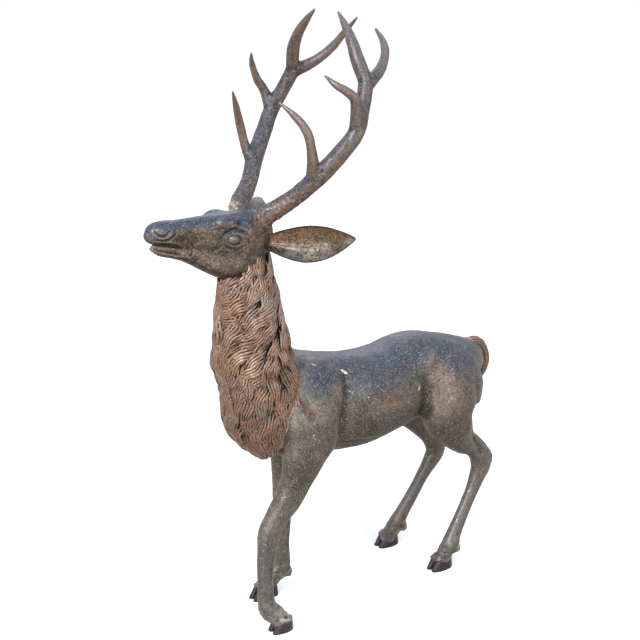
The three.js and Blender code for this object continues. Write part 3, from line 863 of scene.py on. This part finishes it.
def strandPaths():  # points and girths, bundles x strands x steps
    dice = np.random.default_rng(mane["seed"] + 1)
    turn, height = (row[:, None] for row in bundleRoots())
    shape = (len(turn), mane["strands"])
    offset = np.arange(mane["strands"]) - (mane["strands"] - 1) / 2 + 0 * turn
    length = dice.uniform(*mane["length"], (shape[0], 1)) * dice.uniform(*mane["uneven"], shape)
    length = np.minimum(length, (height - mane["point"]) * 1.1)
    phase = dice.uniform(0, 2 * math.pi, (shape[0], 1))
    leaning = dice.uniform(-1, 1, (shape[0], 1)) * mane["waver"]
    spot = np.concatenate([90 * np.cos(turn), 90 * np.sin(turn), height], 1)
    proud = np.maximum(ripple(spot, mane["tufts"])[:, None], mane["lowest"])
    proud = proud + dice.uniform(*mane["proud"], (shape[0], 1))
    proud = proud - 0.9 * np.abs(offset) + dice.uniform(-mane["jitter"], mane["jitter"], shape)
    turn, height = turn + 0 * offset, height + 0 * offset
    down = np.array([0, 0, -1.0])
    heights, fronts, rears = np.array(mane["lean"], float).T
    paths, girths = [], []
    for share in np.linspace(0, 1, mane["steps"]):
        arch = mane["arch"] * math.sin(min(share * 1.6, 1) * math.pi / 2)
        lift = proud + arch - mane["rootSunk"] - mane["tipSunk"] * share ** 4
        place, way = maneSkin(turn, height, lift)
        behind = smoothStep(-0.3, 0.8, way[..., 1])
        lean = np.interp(height, heights, fronts) * (1 - behind)
        lean += np.interp(height, heights, rears) * behind
        swing = mane["wave"] * np.sin(share * length / mane["waveLength"] * 2 * math.pi + phase)
        angle = np.radians(lean * smoothStep(0, 0.35, np.abs(way[..., 0])) + leaning + swing)[..., None]
        side = np.where(way[..., 0] > 0, 1.0, -1.0)
        forward = np.stack([way[..., 1] * side, -way[..., 0] * side, 0 * side], -1)
        aside = forward * np.cos(angle) - down * np.sin(angle)
        paths.append(place + aside * (offset * mane["pitch"] * (1 - 0.45 * share))[..., None])
        girths.append(math.sin(math.pi * (0.12 + 0.84 * share)) ** 0.6 + 0 * turn)
        move = (down * np.cos(angle) + forward * np.sin(angle)) * (length / (mane["steps"] - 1))[..., None]
        around = (maneSkin(turn + 0.01, height, lift)[0] - place) / 0.01
        turn = turn + (move * around).sum(-1) / (around ** 2).sum(-1)
        height = height + move[..., 2]
    return np.stack(paths, 2), np.stack(girths, 2)


def depthIn(piece, points):  # how far each point lies inside a piece, and the way straight out of it
    skin = BVHTree.FromObject(piece, bpy.context.evaluated_depsgraph_get())
    depth, ways = np.empty(len(points)), np.empty((len(points), 3))
    for index, point in enumerate(toScene(points)):
        place, normal, _, _ = skin.find_nearest(Vector(point))
        depth[index] = (Vector(point) - place).dot(normal) * -1000
        ways[index] = normal
    return depth, ways


def combed():  # the paths that show, laid over the shoulder where they would sink into it
    paths, girths = strandPaths()
    paths, girths = paths.reshape(-1, mane["steps"], 3), girths.reshape(-1, mane["steps"])
    rootIn, _ = depthIn(stagBody, paths[:, 0])
    headIn, _ = depthIn(stagHead, paths[:, 3])
    kept = (rootIn < mane["hidden"]["body"]) & (headIn < mane["hidden"]["head"])
    paths, girths = paths[kept], girths[kept]
    depth, ways = depthIn(stagBody, paths.reshape(-1, 3))
    sunk = (np.maximum(depth + mane["clear"], 0) * smoothStep(*mane["laid"], depth))[:, None]
    laid = (paths.reshape(-1, 3) + ways * sunk).reshape(paths.shape)
    return laid, girths


def emptyTree(owner):  # of a material or the world
    owner.use_nodes = True
    owner.node_tree.nodes.clear()
    return owner.node_tree


# inputs: {socket: value or (node, output)}
def node(tree, kind, inputs=None, **settings):
    made = tree.nodes.new(kind)
    for name, value in settings.items():
        setattr(made, name, value)
    for socket, value in (inputs or {}).items():
        if isinstance(value, tuple) and isinstance(value[0], bpy.types.Node):
            tree.links.new(value[0].outputs[value[1]], made.inputs[socket])
        else:
            made.inputs[socket].default_value = value
    return made


def strandTree():  # sweeps a round strand along every path, as thick as the path's "girth" says
    tree = bpy.data.node_groups.new("castStrands", "GeometryNodeTree")
    sockets = [("Paths", "NodeSocketGeometry"), ("Thickness", "NodeSocketFloat"),
               ("Sides", "NodeSocketInt"), ("Finish", "NodeSocketMaterial")]
    for name, kind in sockets:
        tree.interface.new_socket(name, in_out="INPUT", socket_type=kind)
    tree.interface.new_socket("Strands", in_out="OUTPUT", socket_type="NodeSocketGeometry")
    given = node(tree, "NodeGroupInput")
    girth = node(tree, "GeometryNodeInputNamedAttribute", {"Name": "girth"}, data_type="FLOAT")
    reach = node(tree, "ShaderNodeMath", {0: (girth, "Attribute"), 1: (given, "Thickness")},
                 operation="MULTIPLY")
    lines = node(tree, "GeometryNodeMeshToCurve", {"Mesh": (given, "Paths")})
    ring = node(tree, "GeometryNodeCurvePrimitiveCircle", {"Resolution": (given, "Sides"), "Radius": 1.0},
                mode="RADIUS")
    swept = node(tree, "GeometryNodeCurveToMesh", {
        "Curve": (lines, "Curve"), "Profile Curve": (ring, "Curve"), "Scale": (reach, "Value"),
        "Fill Caps": True})
    real = node(tree, "GeometryNodeRealizeInstances", {"Geometry": (swept, "Mesh")})
    finish = node(tree, "GeometryNodeSetMaterial", {
        "Geometry": (real, "Geometry"), "Material": (given, "Finish")})
    out = node(tree, "NodeGroupOutput")
    tree.links.new(finish.outputs["Geometry"], out.inputs["Strands"])
    return tree


def swept(name, paths, girths, tree, finish):  # a plain mesh of the strands along the paths
    count, steps = girths.shape
    start = np.arange(count * steps).reshape(count, steps)
    edges = np.stack([start[:, :-1], start[:, 1:]], -1).reshape(-1, 2)
    mesh = bpy.data.meshes.new(name)
    mesh.from_pydata(toScene(paths.reshape(-1, 3)).tolist(), edges.tolist(), [])
    piece = placed(name, mesh)
    keepMask(piece, "girth", girths.ravel())
    values = {"Thickness": mane["girth"] / 1000, "Sides": mane["sides"], "Finish": finish}
    modifier = piece.modifiers.new("strands", "NODES")
    modifier.node_group = tree
    for item in tree.interface.items_tree:
        if item.item_type == "SOCKET" and item.in_out == "INPUT" and item.name in values:
            modifier[item.identifier] = values[item.name]
    return applied(piece)


def toneMane(piece):  # patina and painted shade dark in the gaps, a painted highlight bright on top of each strand
    points, normals = pointsOf(piece), normalsOf(piece)
    spine, width, front, back = maneOutline(points[:, 2])
    behind = points[:, 1] - spine
    depth = np.where(behind > 0, back, front)
    way = unit(np.stack([points[:, 0] / width ** 2, behind / depth ** 2, 0 * behind], -1))
    level = (np.hypot(points[:, 0] / width, behind / depth) - 1) * np.minimum(width, depth)
    # crest: how far a face looks out of the mane; with the height over the bed it sets the painted shade
    # in the gaps and the painted highlight on top
    crest = 0.5 + 0.5 * (way * normals).sum(1)
    keepMask(piece, "patinaShadeAndHighlight", np.clip(0.6 * crest + 0.4 * smoothStep(-10, 6, level), 0, 1))
    keepMask(piece, "warm", glow(points, mane["rubbed"]))


def linear(hexColour):
    channels = [int(hexColour[i:i + 2], 16) / 255 for i in (1, 3, 5)]
    return tuple(c / 12.92 if c < 0.04045 else ((c + 0.055) / 1.055) ** 2.4 for c in channels) + (1.0,)


mixA, mixB, mixOut = 6, 7, 2  # colour sockets of the Mix node

# Size in millimetres, detail and roughness of each pattern. The grain is drawn about 4 mm, coarser than
# the real 1 mm casting sand, so that it shows from a few steps away.
patterns = {
    "clouds": (90, 3.0, 0.55), "patches": (34, 3.0, 0.6), "mottle": (14, 3.0, 0.6),
    "grain": (4.4, 1.5, 0.7), "fleck": (6, 1.5, 0.7)}
broken = (0.38, 0.6)  # between these values of a pattern, a layer that it breaks up comes in
pitted = {"dents": 0.002, "pits": 0.001}  # metres deep: dents as wide as a thumb, and the sand's grain


# A finish is a ground colour under layers, from the bottom up: colour, share, what it follows (a pattern
# or a mask of the piece), where that starts and is full, and the pattern that breaks it up.
def patinated(name, look):
    material = bpy.data.materials.new(name)
    tree = emptyTree(material)
    place = node(tree, "ShaderNodeTexCoord")
    sources = {}
    for pattern, (millimetres, detail, roughness) in patterns.items():
        sources[pattern] = (node(tree, "ShaderNodeTexNoise", {
            "Vector": (place, "Object"), "Scale": 1000 / millimetres, "Detail": detail,
            "Roughness": roughness}), "Fac")
    sources["dots"] = (node(tree, "ShaderNodeTexVoronoi", {
        "Vector": (place, "Object"), "Scale": 1000 / look["dots"]}), "Distance")
    for mask in look["masks"]:
        sources[mask] = (node(tree, "ShaderNodeAttribute", attribute_name=mask), "Fac")
    colour = linear(look["ground"])
    for hexColour, share, source, start, full, breaker in look["layers"]:
        part = node(tree, "ShaderNodeMapRange", {
            "Value": sources[source], "From Min": start, "From Max": full, "To Max": share})
        if breaker:
            patches = node(tree, "ShaderNodeMapRange", {
                "Value": sources[breaker], "From Min": broken[0], "From Max": broken[1]})
            part = node(tree, "ShaderNodeMath", {0: (part, "Result"), 1: (patches, "Result")},
                        operation="MULTIPLY", use_clamp=True)
        colour = (node(tree, "ShaderNodeMix", {
            "Factor": (part, 0), mixA: colour, mixB: linear(hexColour)}, data_type="RGBA"), mixOut)
    roughness = node(tree, "ShaderNodeMapRange", {
        "Value": sources["grain"], "From Min": 0.3, "From Max": 0.7,
        "To Min": look["rough"][0], "To Max": look["rough"][1]})
    dents = node(tree, "ShaderNodeBump", {
        "Strength": look["bump"], "Distance": pitted["dents"], "Height": sources["mottle"]})
    pits = node(tree, "ShaderNodeBump", {
        "Strength": look["bump"], "Distance": pitted["pits"], "Height": sources["grain"],
        "Normal": (dents, "Normal")})
    skin = node(tree, "ShaderNodeBsdfPrincipled", {
        "Base Color": colour, "Metallic": look["metallic"], "Roughness": (roughness, "Result"),
        "Normal": (pits, "Normal")})
    node(tree, "ShaderNodeOutputMaterial", {"Surface": (skin, "BSDF")})
    return material


def hideBronze():  # sand-cast bronze, dark brown patina: satin, slate patina with a painted sky reflection on top, painted shade on the undersides, rubbed warm where it swells
    return patinated("darkPatinaBronze", {
        "ground": "#554d46", "dots": 13,
        "masks": ["patinaShadeAndHighlight", "slateAndSkyReflection", "warm", "green", "pale", "under", "hair", "chip"],
        "layers": [
            ("#6c6259", 0.75, "clouds", 0.42, 0.64, None),
            # slate patina, and a painted sky reflection where the mask follows faces that look up
            ("#384459", 0.75, "slateAndSkyReflection", 0.1, 0.9, "patches"),
            ("#3a4657", 0.65, "slateAndSkyReflection", 0.15, 1.0, None),
            ("#957a64", 0.55, "warm", 0.1, 1.0, None),
            ("#4a5140", 0.5, "green", 0.1, 1.0, "patches"),
            # painted shade on faces that look down
            ("#211e1b", 0.75, "under", 0.0, 1.0, None),
            ("#5b3f2c", 0.6, "hair", 0.0, 1.0, "mottle"),
            # patina and painted shade dark in the hollows
            ("#1d1b19", 0.5, "patinaShadeAndHighlight", 0.49, 0.28, None),
            ("#2b2724", 0.4, "mottle", 0.5, 0.38, None),
            ("#1a1815", 0.5, "fleck", 0.47, 0.36, None),
            ("#a9a296", 0.46, "grain", 0.54, 0.68, None),
            # rubbed wear and a painted highlight on the ridges
            ("#8d8579", 0.3, "patinaShadeAndHighlight", 0.56, 0.9, None),
            ("#a8a38e", 0.85, "pale", 0.25, 0.9, "mottle"),
            ("#d6cfbd", 0.75, "dots", 0.17, 0.08, "patches"),
            ("#cfc4ab", 1.0, "chip", 0.45, 0.6, None)],
        "metallic": 0.65, "rough": (0.34, 0.52), "bump": 0.4})


def maneBronze():  # the same metal, brushed back to copper brown: patina and painted shade dark in the gaps, a painted highlight on each strand
    return patinated("copperBrownBronze", {
        "ground": "#846f61", "dots": 9, "masks": ["patinaShadeAndHighlight", "warm"],
        "layers": [
            ("#8f6d57", 0.75, "patches", 0.42, 0.6, None),
            ("#7b7674", 0.7, "clouds", 0.46, 0.6, "mottle"),
            ("#b0683f", 0.7, "warm", 0.15, 1.0, "patches"),
            # the sides of the strands, then patina and painted shade in the gaps
            ("#85583c", 0.55, "patinaShadeAndHighlight", 0.88, 0.76, "patches"),
            ("#150e0a", 0.98, "patinaShadeAndHighlight", 0.76, 0.46, None),
            # painted highlight on top of each strand
            ("#dbb595", 0.85, "patinaShadeAndHighlight", 0.85, 0.97, "mottle"),
            ("#a89184", 0.45, "patinaShadeAndHighlight", 0.85, 0.97, None),
            ("#2b1f18", 0.5, "fleck", 0.46, 0.36, None),
            ("#b8a796", 0.4, "grain", 0.56, 0.68, None),
            ("#cdbb9f", 0.4, "dots", 0.14, 0.08, "patches")],
        "metallic": 0.5, "rough": (0.34, 0.52), "bump": 0.3})


def headBronze():  # slate patina with a painted sky reflection on the crown, painted shade under the jaw and muzzle, brown cheeks, bare yellow metal in the mouth and nostrils
    return patinated("headPatinaBronze", {
        "ground": "#5f5147", "dots": 9,
        "masks": ["patinaShadeAndHighlight", "slateAndSkyReflection", "brass", "paintedShade"],
        "layers": [
            ("#7a6452", 0.8, "patches", 0.42, 0.6, None),
            ("#3b3733", 0.7, "clouds", 0.52, 0.42, None),
            # painted shade under the jaw and muzzle and on faces that look down
            ("#211e1c", 0.8, "paintedShade", 0.0, 1.0, None),
            # slate patina on the nose, and a painted sky reflection on the crown
            ("#303e52", 0.85, "slateAndSkyReflection", 0.05, 0.75, "patches"),
            ("#3b4a5c", 0.7, "slateAndSkyReflection", 0.1, 0.9, None),
            # patina and painted shade dark in the hollows
            ("#191513", 0.6, "patinaShadeAndHighlight", 0.46, 0.16, None),
            ("#2b2521", 0.4, "mottle", 0.5, 0.38, None),
            ("#15110e", 0.55, "fleck", 0.47, 0.36, None),
            ("#aa9c8c", 0.42, "grain", 0.55, 0.68, None),
            # rubbed wear and a painted highlight on the ridges
            ("#95826f", 0.28, "patinaShadeAndHighlight", 0.58, 0.9, None),
            ("#80603f", 0.7, "brass", 0.2, 1.0, None),
            ("#cfc3ac", 0.55, "dots", 0.15, 0.08, "patches")],
        "metallic": 0.6, "rough": (0.34, 0.5), "bump": 0.4})


def earBronze():  # dark outside; polished yellow high in the cup, pale bloom low in it, a black rim and painted shade deep at the cup's root; the far ear's cup dimmed with painted shade
    return patinated("earPatinaBronze", {
        "ground": "#433b35", "dots": 9,
        "masks": ["slateAndSkyReflection", "brass", "pale", "rim", "patinaShadeAndHighlight"],
        "layers": [
            ("#333e4d", 0.9, "slateAndSkyReflection", 0.1, 0.9, None),
            ("#69523f", 0.9, "brass", 0.05, 1.0, None),
            ("#8f6d4d", 0.6, "brass", 0.2, 1.0, "patches"),
            ("#78716a", 0.75, "pale", 0.05, 1.0, None),
            ("#bfb39d", 0.65, "pale", 0.25, 1.0, "patches"),
            ("#1f1712", 0.75, "fleck", 0.47, 0.36, None),
            ("#3d2d20", 0.5, "mottle", 0.5, 0.38, None),
            ("#b3a78f", 0.5, "grain", 0.56, 0.68, None),
            # a black rim, with painted shade deep in the cup's root
            ("#171311", 0.95, "rim", 0.2, 0.9, None)],
        "metallic": 0.55, "rough": (0.34, 0.52), "bump": 0.4})


def antlerBronze():  # smooth umber with a painted bluish sky reflection on faces that look up, golden on the near tines, reddish and rough below
    return patinated("antlerPatinaBronze", {
        "ground": "#3f3735", "dots": 10,
        "masks": ["patinaShadeAndHighlight", "slateAndSkyReflection", "warm", "red", "pale"],
        "layers": [
            ("#5d4d43", 0.8, "clouds", 0.42, 0.6, None),
            # painted sky reflection: bluish on faces that look up and forward
            ("#3f4757", 0.85, "slateAndSkyReflection", 0.0, 0.9, None),
            ("#80592f", 0.8, "warm", 0.1, 1.0, None),
            ("#705040", 0.65, "red", 0.1, 1.0, "mottle"),
            # patina and painted shade dark in the hollows
            ("#171311", 0.8, "patinaShadeAndHighlight", 0.46, 0.25, None),
            ("#14100e", 0.8, "fleck", 0.47, 0.36, None),
            ("#a0968e", 0.4, "grain", 0.55, 0.68, None),
            # rubbed wear and a painted highlight on the ridges
            ("#93806f", 0.4, "patinaShadeAndHighlight", 0.58, 0.9, None),
            ("#cfc9a2", 0.95, "pale", 0.1, 0.7, "mottle"),
            ("#c9bfab", 0.55, "dots", 0.15, 0.08, "patches")],
        "metallic": 0.55, "rough": (0.34, 0.52), "bump": 0.4})


def hoofBronze():  # smooth purple-brown, a little shinier than the hide
    return patinated("hoofBronze", {
        "ground": "#3c3236", "dots": 14, "masks": ["patinaShadeAndHighlight"],
        "layers": [
            ("#4b3f44", 0.7, "clouds", 0.42, 0.6, None),
            # patina and painted shade dark in the hollows
            ("#1b1618", 0.7, "patinaShadeAndHighlight", 0.46, 0.2, None),
            ("#282124", 0.5, "fleck", 0.46, 0.36, None),
            ("#75666a", 0.35, "grain", 0.56, 0.7, None)],
        "metallic": 0.5, "rough": (0.3, 0.46), "bump": 0.25})


def facing(points, normals, tone):  # 1 where a face looks up or down enough between the tone's heights
    return smoothStep(*tone["look"], normals[:, 2]) * smoothStep(*tone["height"], points[:, 2])


hideTones = {
    # how dark the hollows go with patina and painted shade, and how light the ridges
    "patinaShadeAndHighlight": {"rounds": 12, "gain": 0.3},  # how wide a hollow counts, and how strongly
    # top: faces that look up, painted bluish as a sky reflection through the slate layers
    "top": {"look": (0.1, 0.85), "height": (520, 660)},
    # painted shade on faces that look down, between these heights
    "under": {"look": (0.2, -0.7), "height": (300, 420)},
    "cannon": {"share": 0.45, "height": (350, 270)},
    "pale": {"share": 0.55, "height": (132, 74), "waves": [(0.6, 34, 12)]},
    # spots of slate patina, added to the painted sky reflection on top
    "slateAndSkyReflection": [((85, -190, 705), (60, 60, 40), 0.9), ((60, 190, 715), (60, 90, 50), 0.7),
              ((100, -20, 660), (60, 90, 40), 0.6)],
    "warm": [((120, 200, 650), (46, 36, 44), 0.8), ((142, 236, 560), (48, 46, 54), 1.0),
             ((122, 10, 582), (30, 60, 18), 1.0), ((110, -160, 640), (30, 26, 34), 0.8),
             ((122, -255, 620), (34, 26, 26), 0.8), ((128, -230, 520), (34, 30, 60), 0.35)],
    "green": [((60, 400, 650), (50, 50, 60), 0.9), ((50, 30, 460), (60, 160, 22), 0.8)],
    "hair": [((90, -70, 470), (50, 90, 26), 1.0)],
    # chips of pale undercoat: centre, way they run, half length, half width
    "chips": [((80, -113, 693), (0.2, 0.75, -0.6), 13, 4.5), ((115, 132, 611), (0.1, 0.5, 0.8), 11, 3.6),
              ((112, -91, 635), (0.0, 0.2, -1.0), 9, 2), ((70, -209, 727), (0.4, 0.9, -0.3), 10, 1.8)],
    "chipEdge": [(0.3, 6, 13)],
}


def toneHide(piece):
    points, normals = pointsOf(piece), normalsOf(piece)
    # patina and painted shade in the hollows, wear and a painted highlight on the ridges
    keepMask(piece, "patinaShadeAndHighlight", hollows(piece, **hideTones["patinaShadeAndHighlight"]))
    # painted sky reflection on faces that look up, with the slate patina of the shins and spots
    top = facing(points, normals, hideTones["top"])
    cannon, pale = hideTones["cannon"], hideTones["pale"]
    shin = cannon["share"] * smoothStep(*cannon["height"], points[:, 2])
    keepMask(piece, "slateAndSkyReflection", np.clip(top + shin + glow(points, hideTones["slateAndSkyReflection"]), 0, 1))
    for tone in ("warm", "green", "hair"):
        keepMask(piece, tone, glow(points, hideTones[tone]))
    # painted shade on the undersides
    keepMask(piece, "under", facing(points, normals, hideTones["under"]))
    feet = smoothStep(*pale["height"], points[:, 2])
    keepMask(piece, "pale", feet * (pale["share"] + ripple(points, pale["waves"])))
    chip = np.zeros(len(points))
    for centre, way, long, wide in hideTones["chips"]:
        out = points - np.array(centre)
        way = unit(np.array(way))
        length = out @ way
        across = np.linalg.norm(out - length[:, None] * way, axis=1)
        across = across * (1 + ripple(points, hideTones["chipEdge"]))
        chip = np.maximum(chip, 1.5 - np.hypot(length / long, across / wide))
    keepMask(piece, "chip", np.clip(chip, 0, 1))


headTones = {
    "patinaShadeAndHighlight": {"rounds": 7, "gain": 0.75},
    # crown: faces of the head that look up, painted bluish as a sky reflection
    "crown": {"look": (-0.1, 0.75), "height": (1066, 1114)},
    "nose": [((10, -620, 1125), (26, 34, 26), 1.0)],
    # painted shade under the jaw and the muzzle
    "paintedShade": [((48, -395, 1005), (40, 60, 36), 0.7), ((30, -560, 1035), (40, 90, 16), 0.5)],
}


def toneHead(piece):
    points, normals = pointsOf(piece), normalsOf(piece)
    # patina and painted shade in the hollows, wear and a painted highlight on the ridges
    keepMask(piece, "patinaShadeAndHighlight", hollows(piece, **headTones["patinaShadeAndHighlight"]))
    # painted sky reflection on the crown, slate patina on the nose
    crown = facing(points, normals, headTones["crown"])
    keepMask(piece, "slateAndSkyReflection", np.clip(crown + glow(points, headTones["nose"]), 0, 1))
    # painted shade on faces that look down
    under = smoothStep(0.0, -0.7, normals[:, 2])
    keepMask(piece, "paintedShade", np.clip(glow(points, headTones["paintedShade"]) + under, 0, 1))


antlerTones = {
    "warm": [((165, -300, 1330), (30, 50, 60), 0.9), ((205, -200, 1400), (24, 34, 60), 0.8),
             ((190, -260, 1480), (24, 40, 40), 0.8)],
    "pale": [((70, -372, 1140), (18, 20, 20), 1.0)],
    "patinaShadeAndHighlight": {"rounds": 4, "gain": 0.8},
    "red": (1260, 1150),  # comes in downwards between these heights
}


def toneAntlers(piece):
    points, normals = pointsOf(piece), normalsOf(piece)
    # patina and painted shade in the hollows, wear and a painted highlight on the ridges
    keepMask(piece, "patinaShadeAndHighlight", hollows(piece, **antlerTones["patinaShadeAndHighlight"]))
    # painted sky reflection: bluish where faces look up and forward
    keepMask(piece, "slateAndSkyReflection", smoothStep(-0.2, 0.8, normals[:, 2] - 0.4 * normals[:, 1]) * 0.9)
    keepMask(piece, "warm", glow(points, antlerTones["warm"]))
    keepMask(piece, "red", smoothStep(*antlerTones["red"], points[:, 2]))
    keepMask(piece, "pale", glow(points, antlerTones["pale"], sides=(-1,)))


def dressed(piece, material):
    piece.data.materials.clear()
    piece.data.materials.append(material)
    piece.data.polygons.foreach_set("use_smooth", [True] * len(piece.data.polygons))
    piece.data.update()
    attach(piece, "root")
    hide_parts("stag")


maneBed = buildManeBed()
copperBrown = maneBronze()
paths, girths = combed()
sweepStrands = strandTree()
onNeck = paths[:, 0, 2] > mane["parting"]
neckMane = swept("neckMane", paths[onNeck], girths[onNeck], sweepStrands, copperBrown)
chestMane = swept("chestMane", paths[~onNeck], girths[~onNeck], sweepStrands, copperBrown)
print("mane strands", len(paths), "faces", len(neckMane.data.polygons), len(chestMane.data.polygons))
for hair in (maneBed, neckMane, chestMane):
    toneMane(hair)
    dressed(hair, copperBrown)

toneHide(stagBody)
toneHead(stagHead)
toneAntlers(stagAntlers)
# patina and painted shade in the hollows of the ears and hooves
for plain in (stagEars, stagHooves):
    keepMask(plain, "patinaShadeAndHighlight", hollows(plain, rounds=2, gain=0.6))
# patina and painted shade in the tail's grooves
keepMask(stagTail, "patinaShadeAndHighlight", 0.36 + 0.6 * hollows(stagTail, rounds=3, gain=1.0))
for piece, finish in (
        (stagBody, hideBronze()), (stagHead, headBronze()), (stagEars, earBronze()),
        (stagAntlers, antlerBronze()), (stagHooves, hoofBronze()), (stagTail, copperBrown)):
    dressed(piece, finish)
print("finishes on")


# A plain pale studio.
studio = {
    # the floor's colour as seen, and as it lights the metal; its size in metres
    "floor": "#fbfaf8", "bounce": "#cdc8be", "floorSize": 80,
    # the plain wall behind, and the sky that lights the metal: strength at the horizon and overhead
    "wall": 1.0, "sky": (0.75, 1.35), "skyTint": (0.93, 0.98, 1.08, 1),
    # place in metres, aim height, size, watts
    "lights": {"key": ((1.6, -3.0, 3.2), 0.9, 1.4, 122), "fill": ((3.4, 0.6, 1.7), 0.8, 2.4, 36),
               "low": ((2.2, -2.4, 0.7), 0.55, 1.2, 17), "back": ((-2.6, 1.8, 2.8), 0.9, 2.2, 15)},
}
camera = {"place": (2383, -1923, 1609), "azimuth": 53.14, "elevation": 14.78, "roll": 0.58, "lens": 63.9,
          "sensor": 36}


def layFloor():
    half = studio["floorSize"] / 2
    mesh = bpy.data.meshes.new("floor")
    corners = [(-half, -half), (half, -half), (half, half), (-half, half)]
    mesh.from_pydata([(x, y, cadLow.z) for x, y in corners], [], [(0, 1, 2, 3)])
    paint = bpy.data.materials.new("paleFloor")
    tree = emptyTree(paint)
    seen = node(tree, "ShaderNodeLightPath")
    colour = node(tree, "ShaderNodeMix", {
        "Factor": (seen, "Is Camera Ray"), mixA: linear(studio["bounce"]),
        mixB: linear(studio["floor"])}, data_type="RGBA")
    chalk = node(tree, "ShaderNodeBsdfDiffuse", {"Color": (colour, mixOut), "Roughness": 0.9})
    node(tree, "ShaderNodeOutputMaterial", {"Surface": (chalk, "BSDF")})
    mesh.materials.append(paint)
    placed("floor", mesh)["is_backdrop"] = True


def lightStudio():
    world = bpy.data.worlds.new("studio")
    tree = emptyTree(world)
    seen = node(tree, "ShaderNodeLightPath")
    way = node(tree, "ShaderNodeTexCoord")
    split = node(tree, "ShaderNodeSeparateXYZ", {"Vector": (way, "Generated")})
    height = node(tree, "ShaderNodeMapRange", {
        "Value": (split, "Z"), "From Max": 0.8, "To Min": studio["sky"][0], "To Max": studio["sky"][1]})
    sky = node(tree, "ShaderNodeBackground", {
        "Color": studio["skyTint"], "Strength": (height, "Result")})
    wall = node(tree, "ShaderNodeBackground", {"Color": (1, 1, 1, 1), "Strength": studio["wall"]})
    both = node(tree, "ShaderNodeMixShader", {
        0: (seen, "Is Camera Ray"), 1: (sky, "Background"), 2: (wall, "Background")})
    node(tree, "ShaderNodeOutputWorld", {"Surface": (both, "Shader")})
    bpy.context.scene.world = world
    for name, (place, aim, size, watts) in studio["lights"].items():
        lamp = bpy.data.lights.new(name, "AREA")
        lamp.shape, lamp.size, lamp.energy = "DISK", size, watts
        light = placed(name, lamp)
        light.location = place
        light.rotation_euler = (Vector((0, 0, aim)) - Vector(place)).to_track_quat("-Z", "Y").to_euler()


def setCamera():
    lens = bpy.data.cameras.new("camera")
    lens.lens, lens.sensor_width = camera["lens"], camera["sensor"]
    view = placed("camera", lens)
    azimuth, elevation = math.radians(camera["azimuth"]), math.radians(camera["elevation"])
    turn = (Matrix.Rotation(azimuth, 4, "Z") @ Matrix.Rotation(math.pi / 2 - elevation, 4, "X")
            @ Matrix.Rotation(math.radians(camera["roll"]), 4, "Z"))
    view.matrix_world = Matrix.Translation(toScene(np.array(camera["place"], float))) @ turn
    bpy.context.scene.camera = view


layFloor()
lightStudio()
setCamera()
bpy.context.scene.view_settings.view_transform = "Standard"
